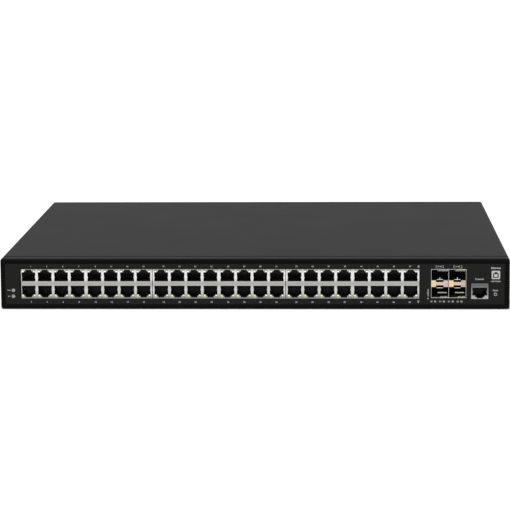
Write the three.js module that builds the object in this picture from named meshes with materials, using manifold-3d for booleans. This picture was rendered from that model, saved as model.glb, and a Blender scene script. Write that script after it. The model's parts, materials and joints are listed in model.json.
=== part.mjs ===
// A 1U rackmount Ethernet switch: 48 copper ports in three stacked blocks, a stacked 2 x 2 cage
// for optical modules, a console port and a reset button behind a pinhole, with the boards,
// the power supply and the two fans that it holds inside.
// Units are millimetres. +X is to the right, +Z is up and the front faces -Y. The origin is the
// middle of the footprint, at the height of the surface that the switch stands on.

import * as THREE from "three";
import { mergeVertices } from "three/addons/utils/BufferGeometryUtils.js";
import Module from "manifold-3d";

const wasm = await Module();
wasm.setup();

// ---------------------------------------------------------------- driving dimensions

// Casing
const WIDTH = 440;
const HEIGHT = 44;
const FRONT_FACE = -175;
const REAR_FACE = 173.4;
const SHEET = 1;
const BEND_RADIUS = 2.5;
const PAN_DEPTH = 12;
const SEAM = 0.6;
const GAP = 0.3;
const RIGHT = WIDTH / 2;
const LEFT = -RIGHT;
const COVER_FRONT = FRONT_FACE + PAN_DEPTH + SEAM;
const TRAY_RIGHT = RIGHT - SHEET - GAP;

// Everything on the front stands up to here, and everything on the rear by as much
const PROUD_FRONT = -175.6;
const PROUD_REAR = 175.6;

// Label film on the front
const FILM = { left: -215.8, right: 215.5, bottom: 4.2, top: 39.4, thickness: 0.25 };
const FILM_BACK = FRONT_FACE - 0.03;

// Boards
const BOARD_BOTTOM = 7.1;
const BOARD_THICKNESS = 1.6;
const BOARD_TOP = BOARD_BOTTOM + BOARD_THICKNESS;
const ON_BOARD = BOARD_TOP + 0.1;
const MAIN_BOARD = { left: -213.5, right: 213.5, front: -169.5, rear: -5 };
const POWER_BOARD = { left: -208, right: -108, front: 15, rear: 140 };
const BOARD_HOLE_RADIUS = 1.7;
const STANDOFF_RADIUS = 3;

// Stacked copper port blocks
const BLOCK_CENTRES = [-145.5, -30.3, 84.9];
const BLOCK_WIDTH = 114.7;
const BLOCK_DEPTH = 33;
const BLOCK_TOP = 35.3;
const PORTS_PER_ROW = 8;
const PORT_PITCH = 14.2;
const MIDDLE_EXTRA = 0.5;
const BAND_BOTTOM = 20.35;
const BAND_TOP = 24.25;
// [half width, height] of each step of a port's mouth, from the middle band outwards
const PORT_MOUTH = [
  [6, 7.2],
  [3.9, 1.4],
  [2.2, 1.6],
];
const PORT_CAVITY = [
  [6, 7.2],
  [3.95, 2.9],
];
const CAVITY_DEPTH = 14;
const SHIELD_SHEET = 0.4;

// Stacked cage for optical modules
const CAGE = { left: 152.1, right: 182.65, top: 34.9, depth: 48, wall: 0.5, divider: 0.6 };
const CAGE_ROWS = { lowerBottom: 9.5, lowerTop: 19.3, upperBottom: 25, upperTop: 34.5 };
const CAGE_CONNECTOR_FRONT = 37;

// Console port
const CONSOLE = { left: 186.9, right: 201.55, top: 22.4, depth: 21, mouthTop: 18.75 };
const CONSOLE_MOUTH = [
  [6, 6.8],
  [3.9, 1.4],
  [2.5, 1.2],
];
const CONSOLE_CAVITY = [
  [6, 6.8],
  [3.95, 2.4],
];

// Reset button
const RESET = { x: 207.7, z: 12.9, pinhole: 0.95, travel: 0.5 };

// Light guides
const STATUS_LIGHT = { x: -208.9, heights: [10.9, 16.2], radius: 1.7 };
const CAGE_LIGHTS = { xs: [156.1, 163.6, 171.2, 178.7], z: 6.5, radius: 1 };

// Rear
const INLET = { x: -160, z: 21, width: 30.7, height: 22.6, proud: 1.8 };
const GROUND_SCREW = { x: -196, z: 12 };
const FAN_XS = [40, 130];
const FAN_Z = 22.4;
const FAN_SIZE = 40;
const FAN_THICKNESS = 20;
const FAN_BACK = 171.8;

// Holes for the rack ears, and the screws that hold the cover
const EAR_HOLES = { ys: [-152, -124], zs: [10, 34], radius: 2.1 };
const COVER_SCREWS = { ys: [-106, 10, 126], z: 6.5 };

// ---------------------------------------------------------------- shapes

function polygon(points) {
  return new THREE.Shape(points.map(([u, v]) => new THREE.Vector2(u, v)));
}

function circle(u, v, radius, sides) {
  const turn = (2 * Math.PI) / sides;
  const points = [];
  for (let i = 0; i < sides; i += 1) {
    const angle = (i + 0.5) * turn;
    points.push([u + radius * Math.cos(angle), v + radius * Math.sin(angle)]);
  }
  return polygon(points);
}

function roundedRectangle(left, right, bottom, top, radius) {
  const shape = new THREE.Shape();
  shape.absarc(right - radius, bottom + radius, radius, -Math.PI / 2, 0);
  shape.absarc(right - radius, top - radius, radius, 0, Math.PI / 2);
  shape.absarc(left + radius, top - radius, radius, Math.PI / 2, Math.PI);
  shape.absarc(left + radius, bottom + radius, radius, Math.PI, 1.5 * Math.PI);
  return shape;
}

// An opening that narrows in steps, from its wide edge at (u, v) up or down
function steppedOpening(u, v, direction, steps) {
  const side = [];
  let height = 0;
  for (const [half, rise] of steps) {
    side.push([half, height]);
    height += rise;
    side.push([half, height]);
  }
  const otherSide = side.map(([half, h]) => [-half, h]).reverse();
  return polygon([...side, ...otherSide].map(([half, h]) => [u + half, v + direction * h]));
}

// ---------------------------------------------------------------- solids

function solidFrom(geometry) {
  const bare = geometry.clone();
  bare.deleteAttribute("normal");
  bare.deleteAttribute("uv");
  const merged = mergeVertices(bare, 1e-4);
  const vertProperties = merged.attributes.position.array;
  const triVerts = new Uint32Array(merged.index.array);
  return new wasm.Manifold(new wasm.Mesh({ numProp: 3, vertProperties, triVerts }));
}

function block(x0, x1, y0, y1, z0, z1) {
  const geometry = new THREE.BoxGeometry(x1 - x0, y1 - y0, z1 - z0);
  geometry.translate((x0 + x1) / 2, (y0 + y1) / 2, (z0 + z1) / 2);
  return solidFrom(geometry);
}

function extruded(shape, depth, basis, offset) {
  const options = { depth, bevelEnabled: false, curveSegments: 4 };
  const geometry = new THREE.ExtrudeGeometry(shape, options);
  geometry.applyMatrix4(new THREE.Matrix4().makeBasis(...basis).setPosition(offset));
  return solidFrom(geometry);
}

const X = new THREE.Vector3(1, 0, 0);
const Y = new THREE.Vector3(0, 1, 0);
const Z = new THREE.Vector3(0, 0, 1);

// A shape drawn in Y and Z, drawn out along X
function prismX(shape, x0, x1) {
  return extruded(shape, x1 - x0, [Y, Z, X], new THREE.Vector3(x0, 0, 0));
}

// A shape drawn in X and Z, drawn out along Y
function prismY(shape, y0, y1) {
  return extruded(shape, y1 - y0, [X, Z, Y.clone().negate()], new THREE.Vector3(0, y1, 0));
}

// A shape drawn in X and Y, drawn out along Z
function prismZ(shape, z0, z1) {
  return extruded(shape, z1 - z0, [X, Y, Z], new THREE.Vector3(0, 0, z0));
}

// A profile of [radius, height] points turned about the Z axis, bottom first
function turned(profile, sides) {
  const points = profile.map(([radius, height]) => new THREE.Vector2(radius, height));
  const geometry = new THREE.LatheGeometry(points, sides);
  geometry.rotateX(Math.PI / 2);
  return solidFrom(geometry);
}

// A wire of the given outline along a smooth curve through the points
function wire(section, points, steps) {
  const path = new THREE.CatmullRomCurve3(points.map((p) => new THREE.Vector3(...p)));
  const options = { steps, extrudePath: path, bevelEnabled: false };
  return solidFrom(new THREE.ExtrudeGeometry(section, options));
}

function union(solids) {
  return solids.reduce((sum, solid) => sum.add(solid));
}

function cut(solid, tools) {
  return tools.reduce((left, tool) => left.subtract(tool), solid);
}

// ---------------------------------------------------------------- materials and the scene

function finish(color, roughness, metalness) {
  return new THREE.MeshStandardMaterial({ color, roughness, metalness, flatShading: true });
}

const BLACK_PAINT = finish(0x1c1c1c, 0.55, 0.3);
const BLACK_FILM = finish(0x242424, 0.45, 0);
const BLACK_PLASTIC = finish(0x0c0c0c, 0.5, 0);
const BLACK_SCREW = finish(0x161616, 0.4, 0.6);
const NICKEL = finish(0xd2d0c8, 0.3, 1);
const STEEL = finish(0x9a9a98, 0.35, 1);
const SPACER = finish(0xe4c9ae, 0.4, 0.2);
const LIGHT_GUIDE = finish(0xc9ccc8, 0.2, 0);
const RESIN_BOARD = finish(0x123d22, 0.5, 0);
const CHIP = finish(0x18181a, 0.55, 0);
const ALUMINIUM = finish(0xa9adb0, 0.4, 0.9);
const FERRITE = finish(0x2e2e30, 0.7, 0);
const COPPER = finish(0xb4622d, 0.35, 0.8);
const SLEEVE = finish(0x20263a, 0.4, 0);
const INSULATOR = finish(0xd8d2c0, 0.6, 0);
const RED_WIRE = finish(0x9c1c1c, 0.6, 0);
const BLUE_WIRE = finish(0x2c4f9c, 0.6, 0);
const EARTH_WIRE = finish(0x5f8f2a, 0.6, 0);
const BLACK_WIRE = finish(0x141414, 0.6, 0);

function add(group, name, solid, material, position = [0, 0, 0]) {
  const { vertProperties, triVerts } = solid.getMesh();
  const geometry = new THREE.BufferGeometry();
  geometry.setAttribute("position", new THREE.BufferAttribute(vertProperties, 3));
  geometry.setIndex(new THREE.BufferAttribute(triVerts, 1));
  const mesh = new THREE.Mesh(geometry, material);
  mesh.name = name;
  mesh.position.set(...position);
  group.add(mesh);
}

// ---------------------------------------------------------------- openings in the front

// The middle of each port in a row, from the middle of its block
function portOffsets() {
  const offsets = [];
  for (let i = 0; i < PORTS_PER_ROW; i += 1) {
    const fromMiddle = i - (PORTS_PER_ROW - 1) / 2;
    offsets.push(fromMiddle * PORT_PITCH + (Math.sign(fromMiddle) * MIDDLE_EXTRA) / 2);
  }
  return offsets;
}

// Cutters for the holes that the panel and the film share, each wider by a margin
function frontOpenings(margin) {
  const y0 = PROUD_FRONT - 1;
  const y1 = FRONT_FACE + PAN_DEPTH;
  const low = ON_BOARD - margin;
  const blocksLeft = BLOCK_CENTRES[0] - BLOCK_WIDTH / 2 - margin;
  const blocksRight = BLOCK_CENTRES.at(-1) + BLOCK_WIDTH / 2 + margin;
  const openings = [
    block(blocksLeft, blocksRight, y0, y1, low, BLOCK_TOP + margin),
    block(CAGE.left - margin, CAGE.right + margin, y0, y1, low, CAGE.top + margin),
    block(CONSOLE.left - margin, CONSOLE.right + margin, y0, y1, low, CONSOLE.top + margin),
    prismY(circle(RESET.x, RESET.z, RESET.pinhole, 10), y0, y1),
  ];
  for (const z of STATUS_LIGHT.heights) {
    openings.push(prismY(circle(STATUS_LIGHT.x, z, STATUS_LIGHT.radius + margin, 12), y0, y1));
  }
  for (const x of CAGE_LIGHTS.xs) {
    openings.push(prismY(circle(x, CAGE_LIGHTS.z, CAGE_LIGHTS.radius + margin, 8), y0, y1));
  }
  return openings;
}

// ---------------------------------------------------------------- casing

// A shallow pan of folded sheet: the front face with four flanges turned back
function frontPanel() {
  const back = FRONT_FACE + PAN_DEPTH;
  const beyond = back + 2 * BEND_RADIUS;
  const side = roundedRectangle(FRONT_FACE, beyond, 0, HEIGHT, BEND_RADIUS);
  const plan = roundedRectangle(LEFT, RIGHT, FRONT_FACE, beyond, BEND_RADIUS);
  const outside = prismX(side, LEFT, RIGHT).intersect(prismZ(plan, 0, HEIGHT));
  const hollow = block(
    LEFT + SHEET, RIGHT - SHEET, FRONT_FACE + SHEET, beyond, SHEET, HEIGHT - SHEET,
  );
  const behind = block(LEFT - 1, RIGHT + 1, back, beyond + 1, -1, HEIGHT + 1);
  return cut(outside, [hollow, behind, ...frontOpenings(GAP)]);
}

function frontFilm() {
  const { left, right, bottom, top, thickness } = FILM;
  const sheet = block(left, right, FILM_BACK - thickness, FILM_BACK, bottom, top);
  return cut(sheet, frontOpenings(0.2));
}

// Ventilation slots through both sides, as bars that cross the whole casing
function sideSlots() {
  const firsts = [-92, 30];
  const count = 9;
  const pitch = 8;
  const width = 3.4;
  const slots = [];
  for (const first of firsts) {
    for (let i = 0; i < count; i += 1) {
      const y = first + i * pitch;
      slots.push(block(LEFT - 1, RIGHT + 1, y, y + width, 12, 34));
    }
  }
  return slots;
}

function earHoles(radius) {
  const holes = [];
  for (const y of EAR_HOLES.ys) {
    for (const z of EAR_HOLES.zs) {
      holes.push(prismX(circle(y, z, radius, 12), LEFT - 1, RIGHT + 1));
    }
  }
  return holes;
}

// A solid that stands on the right-hand side wall's axis, turned to point inwards on a side
function onSide(solid, side, y, z) {
  return solid.rotate([0, side > 0 ? -90 : 90, 0]).translate([side * RIGHT, y, z]);
}

function coverScrewSeats() {
  const seat = turned([[0, -1], [3.2, -1], [3.2, 0.15], [1.9, 1.3], [1.9, 2], [0, 2]], 12);
  const seats = [];
  for (const y of COVER_SCREWS.ys) {
    seats.push(onSide(seat, 1, y, COVER_SCREWS.z));
    seats.push(onSide(seat, -1, y, COVER_SCREWS.z));
  }
  return seats;
}

// The top and both sides, folded from one sheet
function topCover() {
  const outline = roundedRectangle(LEFT, RIGHT, -2 * BEND_RADIUS, HEIGHT, BEND_RADIUS);
  const outside = prismY(outline, COVER_FRONT, REAR_FACE);
  const inside = block(
    LEFT + SHEET, RIGHT - SHEET, COVER_FRONT - 1, REAR_FACE + 1, -20, HEIGHT - SHEET,
  );
  const below = block(LEFT - 1, RIGHT + 1, COVER_FRONT - 1, REAR_FACE + 1, -20, 0.2);
  const holes = earHoles(EAR_HOLES.radius + 0.3);
  return cut(outside, [inside, below, ...sideSlots(), ...holes, ...coverScrewSeats()]);
}

const MAIN_STANDOFFS = [-195, -85, 25, 135, 195].flatMap((x) => [[x, -130], [x, -15]]);
const POWER_STANDOFFS = [-203, -113].flatMap((x) => [[x, 22], [x, 133]]);

// The floor with its two upright flanges and the standoffs pressed into it
function bottomTray() {
  const lipFront = FRONT_FACE + SHEET + 0.5;
  const lipTop = SHEET + GAP + 1;
  const flangeTop = 12;
  const earTop = 38.5;
  const earRear = -114;
  const floor = block(-TRAY_RIGHT, TRAY_RIGHT, COVER_FRONT, REAR_FACE, 0, SHEET);
  const joggle = block(-TRAY_RIGHT, TRAY_RIGHT, COVER_FRONT, COVER_FRONT + 1, 0, lipTop);
  const lip = block(-TRAY_RIGHT, TRAY_RIGHT, lipFront, COVER_FRONT + 1, SHEET + GAP, lipTop);
  const rear = REAR_FACE - 2;
  const flangeOutline = polygon([
    [lipFront, SHEET + GAP],
    [lipFront, earTop],
    [earRear, earTop],
    [earRear, flangeTop],
    [rear, flangeTop],
    [rear, 0],
    [COVER_FRONT, 0],
    [COVER_FRONT, SHEET + GAP],
  ]);
  const flanges = [
    prismX(flangeOutline, -TRAY_RIGHT, -TRAY_RIGHT + SHEET),
    prismX(flangeOutline, TRAY_RIGHT - SHEET, TRAY_RIGHT),
  ];
  const standoffs = [...MAIN_STANDOFFS, ...POWER_STANDOFFS].map(([x, y]) =>
    prismZ(circle(x, y, STANDOFF_RADIUS, 8), SHEET / 2, BOARD_BOTTOM),
  );
  const screwHoles = COVER_SCREWS.ys.map((y) =>
    prismX(circle(y, COVER_SCREWS.z, 1.9, 8), LEFT, RIGHT),
  );
  const whole = union([floor, joggle, lip, ...flanges, ...standoffs]);
  return cut(whole, [...earHoles(EAR_HOLES.radius), ...screwHoles]);
}

// Three rings of slots, each ring in four arcs, that guard a fan
function grilleSlots(x, z) {
  const rings = [[5.4, 8], [10, 12.6], [14.6, 17.4]];
  const bridge = 2.4;
  const steps = 3;
  const slots = [];
  for (const [inner, outer] of rings) {
    for (let quarter = 0; quarter < 4; quarter += 1) {
      const start = (quarter * Math.PI) / 2 + Math.PI / 4;
      const arc = (radius, reversed) => {
        const half = Math.PI / 4 - bridge / 2 / radius;
        const points = [];
        for (let i = 0; i <= steps; i += 1) {
          const share = reversed ? 1 - i / steps : i / steps;
          const angle = start + (2 * share - 1) * half;
          points.push([x + radius * Math.cos(angle), z + radius * Math.sin(angle)]);
        }
        return points;
      };
      const outline = polygon([...arc(outer, false), ...arc(inner, true)]);
      slots.push(prismY(outline, REAR_FACE - 3, REAR_FACE + 1));
    }
  }
  return slots;
}

function rearPanel() {
  const thickness = 1.2;
  const inner = REAR_FACE - thickness;
  const side = TRAY_RIGHT;
  const plate = block(-side, side, inner, REAR_FACE, SHEET + GAP, HEIGHT - SHEET - GAP);
  const foot = block(-side + 2, side - 2, inner - 8, inner + 0.5, SHEET + GAP, SHEET + GAP + 1);
  const through = [REAR_FACE - 3, REAR_FACE + 1];
  const inletHole = block(
    INLET.x - 14, INLET.x + 14, ...through, INLET.z - 10.3, INLET.z + 10.3,
  );
  const groundHole = prismY(circle(GROUND_SCREW.x, GROUND_SCREW.z, 2.3, 10), ...through);
  const fanHoles = [];
  for (const x of FAN_XS) {
    fanHoles.push(...grilleSlots(x, FAN_Z));
    for (const dx of [-16, 16]) {
      for (const dz of [-16, 16]) {
        fanHoles.push(prismY(circle(x + dx, FAN_Z + dz, 1.9, 8), ...through));
      }
    }
  }
  const vents = [];
  for (let i = 0; i < 8; i += 1) {
    const x = -104 + i * 9;
    vents.push(block(x, x + 4.5, ...through, 12, 34));
  }
  return cut(plate.add(foot), [inletHole, groundHole, ...fanHoles, ...vents]);
}

// A flat-headed screw, pointing up, with its head's face at height 0
function flatScrew() {
  return turned([[0, 0], [2.8, 0], [2.8, 0.2], [1.5, 1.5], [1.5, 6], [0, 6]], 12);
}

function groundScrew() {
  const profile = [[0, 0], [3.4, 0], [4, 0.7], [4, 2.1], [2, 2.1], [2, 10], [0, 10]];
  const screw = turned(profile, 12).rotate([90, 0, 0]);
  return screw.translate([GROUND_SCREW.x, PROUD_REAR, GROUND_SCREW.z]);
}

function casing() {
  const group = new THREE.Group();
  add(group, "bottom_tray", bottomTray(), BLACK_PAINT);
  add(group, "front_panel", frontPanel(), BLACK_PAINT);
  add(group, "rear_panel", rearPanel(), BLACK_PAINT);
  add(group, "top_cover", topCover(), BLACK_PAINT);
  add(group, "front_film", frontFilm(), BLACK_FILM);
  const screw = flatScrew();
  COVER_SCREWS.ys.forEach((y, i) => {
    add(group, `cover_screw_left_${i + 1}`, onSide(screw, -1, y, COVER_SCREWS.z), BLACK_SCREW);
    add(group, `cover_screw_right_${i + 1}`, onSide(screw, 1, y, COVER_SCREWS.z), BLACK_SCREW);
  });
  add(group, "ground_screw", groundScrew(), NICKEL);
  return group;
}

// ---------------------------------------------------------------- ports

// Cutters for the sixteen mouths of a block
function blockMouths(steps, y0, y1) {
  return portOffsets().flatMap((x) => [
    prismY(steppedOpening(x, BAND_TOP, 1, steps), y0, y1),
    prismY(steppedOpening(x, BAND_BOTTOM, -1, steps), y0, y1),
  ]);
}

// A five-sided box of thin sheet, open at the bottom, with openings cut in its front
function shield(halfWidth, top, depth, mouths) {
  const rear = PROUD_FRONT + depth;
  const outside = block(-halfWidth, halfWidth, PROUD_FRONT, rear, ON_BOARD, top);
  const inside = block(
    -halfWidth + SHIELD_SHEET, halfWidth - SHIELD_SHEET,
    PROUD_FRONT + SHIELD_SHEET, rear - SHIELD_SHEET, 0, top - SHIELD_SHEET,
  );
  const rim = SHIELD_SHEET + 0.2;
  const frontRim = block(
    -halfWidth + rim, halfWidth - rim,
    PROUD_FRONT, PROUD_FRONT + SHIELD_SHEET, ON_BOARD, ON_BOARD + rim,
  );
  return cut(cut(outside, [inside]).add(frontRim), mouths);
}

// The plastic body inside a shield
function housing(halfWidth, top, depth, cavities) {
  const slack = SHIELD_SHEET + 0.1;
  const body = block(
    -halfWidth + slack, halfWidth - slack,
    PROUD_FRONT + slack, PROUD_FRONT + depth - slack, ON_BOARD + 0.05, top - slack,
  );
  return cut(body, cavities);
}

function portBlocks(group) {
  const half = BLOCK_WIDTH / 2;
  const mouths = blockMouths(PORT_MOUTH, PROUD_FRONT - 1, PROUD_FRONT + 1);
  const cavities = blockMouths(PORT_CAVITY, PROUD_FRONT - 1, PROUD_FRONT + CAVITY_DEPTH);
  const blockShield = shield(half, BLOCK_TOP, BLOCK_DEPTH, mouths);
  const blockHousing = housing(half, BLOCK_TOP, BLOCK_DEPTH, cavities);
  BLOCK_CENTRES.forEach((x, i) => {
    add(group, `port_block_shield_${i + 1}`, blockShield, NICKEL, [x, 0, 0]);
    add(group, `port_block_housing_${i + 1}`, blockHousing, BLACK_PLASTIC, [x, 0, 0]);
  });
}

function consolePort(group) {
  const centre = (CONSOLE.left + CONSOLE.right) / 2;
  const half = (CONSOLE.right - CONSOLE.left) / 2;
  const mouth = prismY(
    steppedOpening(0, CONSOLE.mouthTop, -1, CONSOLE_MOUTH), PROUD_FRONT - 1, PROUD_FRONT + 1,
  );
  const cavity = prismY(
    steppedOpening(0, CONSOLE.mouthTop, -1, CONSOLE_CAVITY),
    PROUD_FRONT - 1, PROUD_FRONT + CAVITY_DEPTH,
  );
  const at = [centre, 0, 0];
  add(group, "console_shield", shield(half, CONSOLE.top, CONSOLE.depth, [mouth]), STEEL, at);
  const body = housing(half, CONSOLE.top, CONSOLE.depth, [cavity]);
  add(group, "console_housing", body, BLACK_PLASTIC, at);
}

// The clear width of each of the cage's two columns, as [left, right]
function cageColumns() {
  const middle = (CAGE.left + CAGE.right) / 2;
  return [
    [CAGE.left + CAGE.wall, middle - CAGE.divider / 2],
    [middle + CAGE.divider / 2, CAGE.right - CAGE.wall],
  ];
}

function moduleCage() {
  const rear = PROUD_FRONT + CAGE.depth;
  const shell = block(CAGE.left, CAGE.right, PROUD_FRONT, rear, ON_BOARD, CAGE.top);
  const channels = cageColumns().map(([left, right]) =>
    block(
      left, right, PROUD_FRONT - 1, rear - CAGE.wall,
      CAGE_ROWS.lowerBottom, CAGE_ROWS.upperTop,
    ),
  );
  const footHoles = cageColumns().map(([left, right]) =>
    block(left, right, PROUD_FRONT + CAGE_CONNECTOR_FRONT - 1, rear - CAGE.wall, 0, 12),
  );
  return cut(shell, [...channels, ...footHoles]);
}

// The spacer between the upper and lower module of a column, notched for the two latches
function moduleSpacer([left, right]) {
  const slack = 0.1;
  const front = PROUD_FRONT + 0.3;
  const rear = PROUD_FRONT + CAGE_CONNECTOR_FRONT - GAP;
  const bottom = CAGE_ROWS.lowerTop;
  const top = CAGE_ROWS.upperBottom;
  const centre = (left + right) / 2;
  const latchHalf = 3.2;
  const latchDepth = 9;
  const notch = 1.5;
  const body = block(left + slack, right - slack, front, rear, bottom, top);
  const reach = [centre - latchHalf, centre + latchHalf, front - 1, front + latchDepth];
  return cut(body, [
    block(...reach, top - notch, top + 1),
    block(...reach, bottom - 1, bottom + notch),
  ]);
}

// The stacked pair of edge connectors behind a column, with a nose for each module
function moduleConnector([left, right]) {
  const slack = 0.2;
  const front = PROUD_FRONT + CAGE_CONNECTOR_FRONT;
  const rear = PROUD_FRONT + CAGE.depth - CAGE.wall - GAP;
  const centre = (left + right) / 2;
  const noseHalf = 5.6;
  const noseLength = 5;
  const body = block(
    left + slack, right - slack, front + noseLength, rear,
    ON_BOARD + 0.05, CAGE_ROWS.upperTop - slack,
  );
  const noses = [CAGE_ROWS.lowerBottom, CAGE_ROWS.upperBottom].map((z) =>
    block(centre - noseHalf, centre + noseHalf, front, front + noseLength + 1, z + 1.2, z + 6),
  );
  return union([body, ...noses]);
}

function modulePorts(group) {
  const [leftColumn, rightColumn] = cageColumns();
  add(group, "module_cage", moduleCage(), STEEL);
  add(group, "module_spacer_left", moduleSpacer(leftColumn), SPACER);
  add(group, "module_spacer_right", moduleSpacer(rightColumn), SPACER);
  add(group, "module_connector_left", moduleConnector(leftColumn), BLACK_PLASTIC);
  add(group, "module_connector_right", moduleConnector(rightColumn), BLACK_PLASTIC);
}

// ---------------------------------------------------------------- reset button and light guides

const RESET_BUTTON = { front: -173.1, length: 4.8, radius: 1.5 };
const RESET_SWITCH = { front: -169.6, rear: -163.6, halfWidth: 3.1, top: 16.2 };

function resetSwitch() {
  const { front, rear, halfWidth, top } = RESET_SWITCH;
  const body = block(RESET.x - halfWidth, RESET.x + halfWidth, front, rear, ON_BOARD, top);
  const boreEnd = RESET_BUTTON.front + RESET_BUTTON.length + RESET.travel + GAP;
  const bore = prismY(circle(RESET.x, RESET.z, RESET_BUTTON.radius + GAP, 12), front - 1, boreEnd);
  return cut(body, [bore]);
}

function resetButton() {
  const { front, length, radius } = RESET_BUTTON;
  return prismY(circle(RESET.x, RESET.z, radius, 12), front, front + length);
}

function statusLightGuide() {
  const { x, heights, radius } = STATUS_LIGHT;
  const back = FRONT_FACE + SHEET + 1.2;
  const pegs = heights.map((z) =>
    prismY(circle(x, z, radius, 12), FILM_BACK - FILM.thickness, back + 1),
  );
  const body = block(x - 2.2, x + 2.2, back, back + 5, ON_BOARD, heights.at(-1) + 2);
  return union([body, ...pegs]);
}

function cageLightGuide() {
  const { xs, z, radius } = CAGE_LIGHTS;
  const back = FRONT_FACE + SHEET + 0.6;
  const pegs = xs.map((x) =>
    prismY(circle(x, z, radius, 8), FILM_BACK - FILM.thickness, back + 1),
  );
  const bar = block(xs[0] - 1.5, xs.at(-1) + 1.5, back, back + 2.4, z - 1.2, z + 1.2);
  return union([bar, ...pegs]);
}

function frontControls(group) {
  add(group, "reset_switch", resetSwitch(), BLACK_PLASTIC);
  add(group, "reset_button", resetButton(), LIGHT_GUIDE);
  add(group, "status_light_guide", statusLightGuide(), LIGHT_GUIDE);
  add(group, "module_light_guide", cageLightGuide(), LIGHT_GUIDE);
}

// ---------------------------------------------------------------- boards

function board(area, standoffs) {
  const { left, right, front, rear } = area;
  const plate = block(left, right, front, rear, BOARD_BOTTOM + 0.05, BOARD_TOP);
  const holes = standoffs.map(([x, y]) =>
    prismZ(circle(x, y, BOARD_HOLE_RADIUS, 8), 0, BOARD_TOP + 1),
  );
  return cut(plate, holes);
}

function chip(size, height) {
  return block(-size / 2, size / 2, -size / 2, size / 2, 0, height);
}

// Upright fins along Y on a flat base
function finnedHeatsink(width, length, height, fins) {
  const baseHeight = 3.5;
  const finWidth = 1.4;
  const base = block(-width / 2, width / 2, -length / 2, length / 2, 0, baseHeight);
  const pitch = (width - finWidth) / (fins - 1);
  const blades = [];
  for (let i = 0; i < fins; i += 1) {
    const x = -width / 2 + i * pitch;
    blades.push(block(x, x + finWidth, -length / 2, length / 2, baseHeight / 2, height));
  }
  return union([base, ...blades]);
}

function mainBoard(group) {
  add(group, "main_board", board(MAIN_BOARD, MAIN_STANDOFFS), RESIN_BOARD);
  const switchChip = { x: -30.3, y: -62, size: 37, height: 3 };
  const at = [switchChip.x, switchChip.y, ON_BOARD];
  add(group, "switch_chip", chip(switchChip.size, switchChip.height), CHIP, at);
  add(
    group, "switch_chip_heatsink", finnedHeatsink(72, 64, 24, 13), ALUMINIUM,
    [switchChip.x, switchChip.y, ON_BOARD + switchChip.height + 0.1],
  );
  BLOCK_CENTRES.forEach((x, i) => {
    [-28, 28].forEach((dx, side) => {
      const name = `line_chip_${2 * i + side + 1}`;
      add(group, name, chip(24, 1.6), CHIP, [x + dx, -118, ON_BOARD]);
    });
  });
  add(group, "processor", chip(23, 2), CHIP, [130, -60, ON_BOARD]);
  add(group, "memory_chip", chip(12, 1.2), CHIP, [155, -60, ON_BOARD]);
  add(group, "flash_chip", chip(9, 1.5), CHIP, [130, -36, ON_BOARD]);
}

// ---------------------------------------------------------------- power supply

function transformer() {
  const core = block(-17, 17, -15, 15, 0, 26);
  const windows = [
    block(-18, -4.5, -9, 9, 5, 21),
    block(4.5, 18, -9, 9, 5, 21),
  ];
  const bobbin = block(-12, 12, -8, 8, 4, 22);
  return union([cut(core, windows), bobbin]);
}

function electrolytic(radius, height) {
  const lip = 0.8;
  const profile = [
    [0, 0],
    [radius, 0],
    [radius, height - lip],
    [radius - lip, height],
    [0, height],
  ];
  return turned(profile, 16);
}

function ringChoke() {
  const profile = [[4, 0.8], [4.8, 0], [9.2, 0], [10, 0.8], [10, 9.2], [9.2, 10], [4.8, 10], [4, 9.2]];
  const ring = turned([...profile, profile[0]], 16);
  return ring.rotate([90, 0, 0]).translate([0, 5, 10.1]);
}

// A folded aluminium plate that carries the power transistors
function plateHeatsink(length, height) {
  const plate = block(-1.2, 1.2, -length / 2, length / 2, 0, height);
  const fold = block(-1.2, 9, -length / 2, length / 2, height - 2.4, height);
  return union([plate, fold]);
}

function powerSupply(group) {
  add(group, "power_board", board(POWER_BOARD, POWER_STANDOFFS), RESIN_BOARD);
  const sheet = block(-210, -106, 12, 143, SHEET + 0.1, SHEET + 0.5);
  const clearances = POWER_STANDOFFS.map(([x, y]) =>
    prismZ(circle(x, y, STANDOFF_RADIUS + GAP, 8), 0, 3),
  );
  add(group, "insulating_sheet", cut(sheet, clearances), INSULATOR);
  add(group, "transformer", transformer(), FERRITE, [-158, 66, ON_BOARD]);
  add(group, "bulk_capacitor", electrolytic(11, 30), SLEEVE, [-150, 104, ON_BOARD]);
  add(group, "output_capacitor", electrolytic(5, 20), SLEEVE, [-150, 30, ON_BOARD]);
  add(group, "line_choke", ringChoke(), COPPER, [-190, 118, ON_BOARD]);
  add(group, "primary_heatsink", plateHeatsink(52, 28), ALUMINIUM, [-190, 76, ON_BOARD]);
  add(group, "secondary_heatsink", plateHeatsink(50, 28), ALUMINIUM, [-128, 50, ON_BOARD]);
}

// ---------------------------------------------------------------- mains inlet and internal wiring

const INLET_BODY = { halfWidth: 13.6, halfHeight: 9.9, front: 150 };
const INLET_TABS = [[-7, -2], [7, -2], [0, 3]];
const TAB_LENGTH = 7;
const WIRE_END = BOARD_TOP + GAP;

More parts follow.
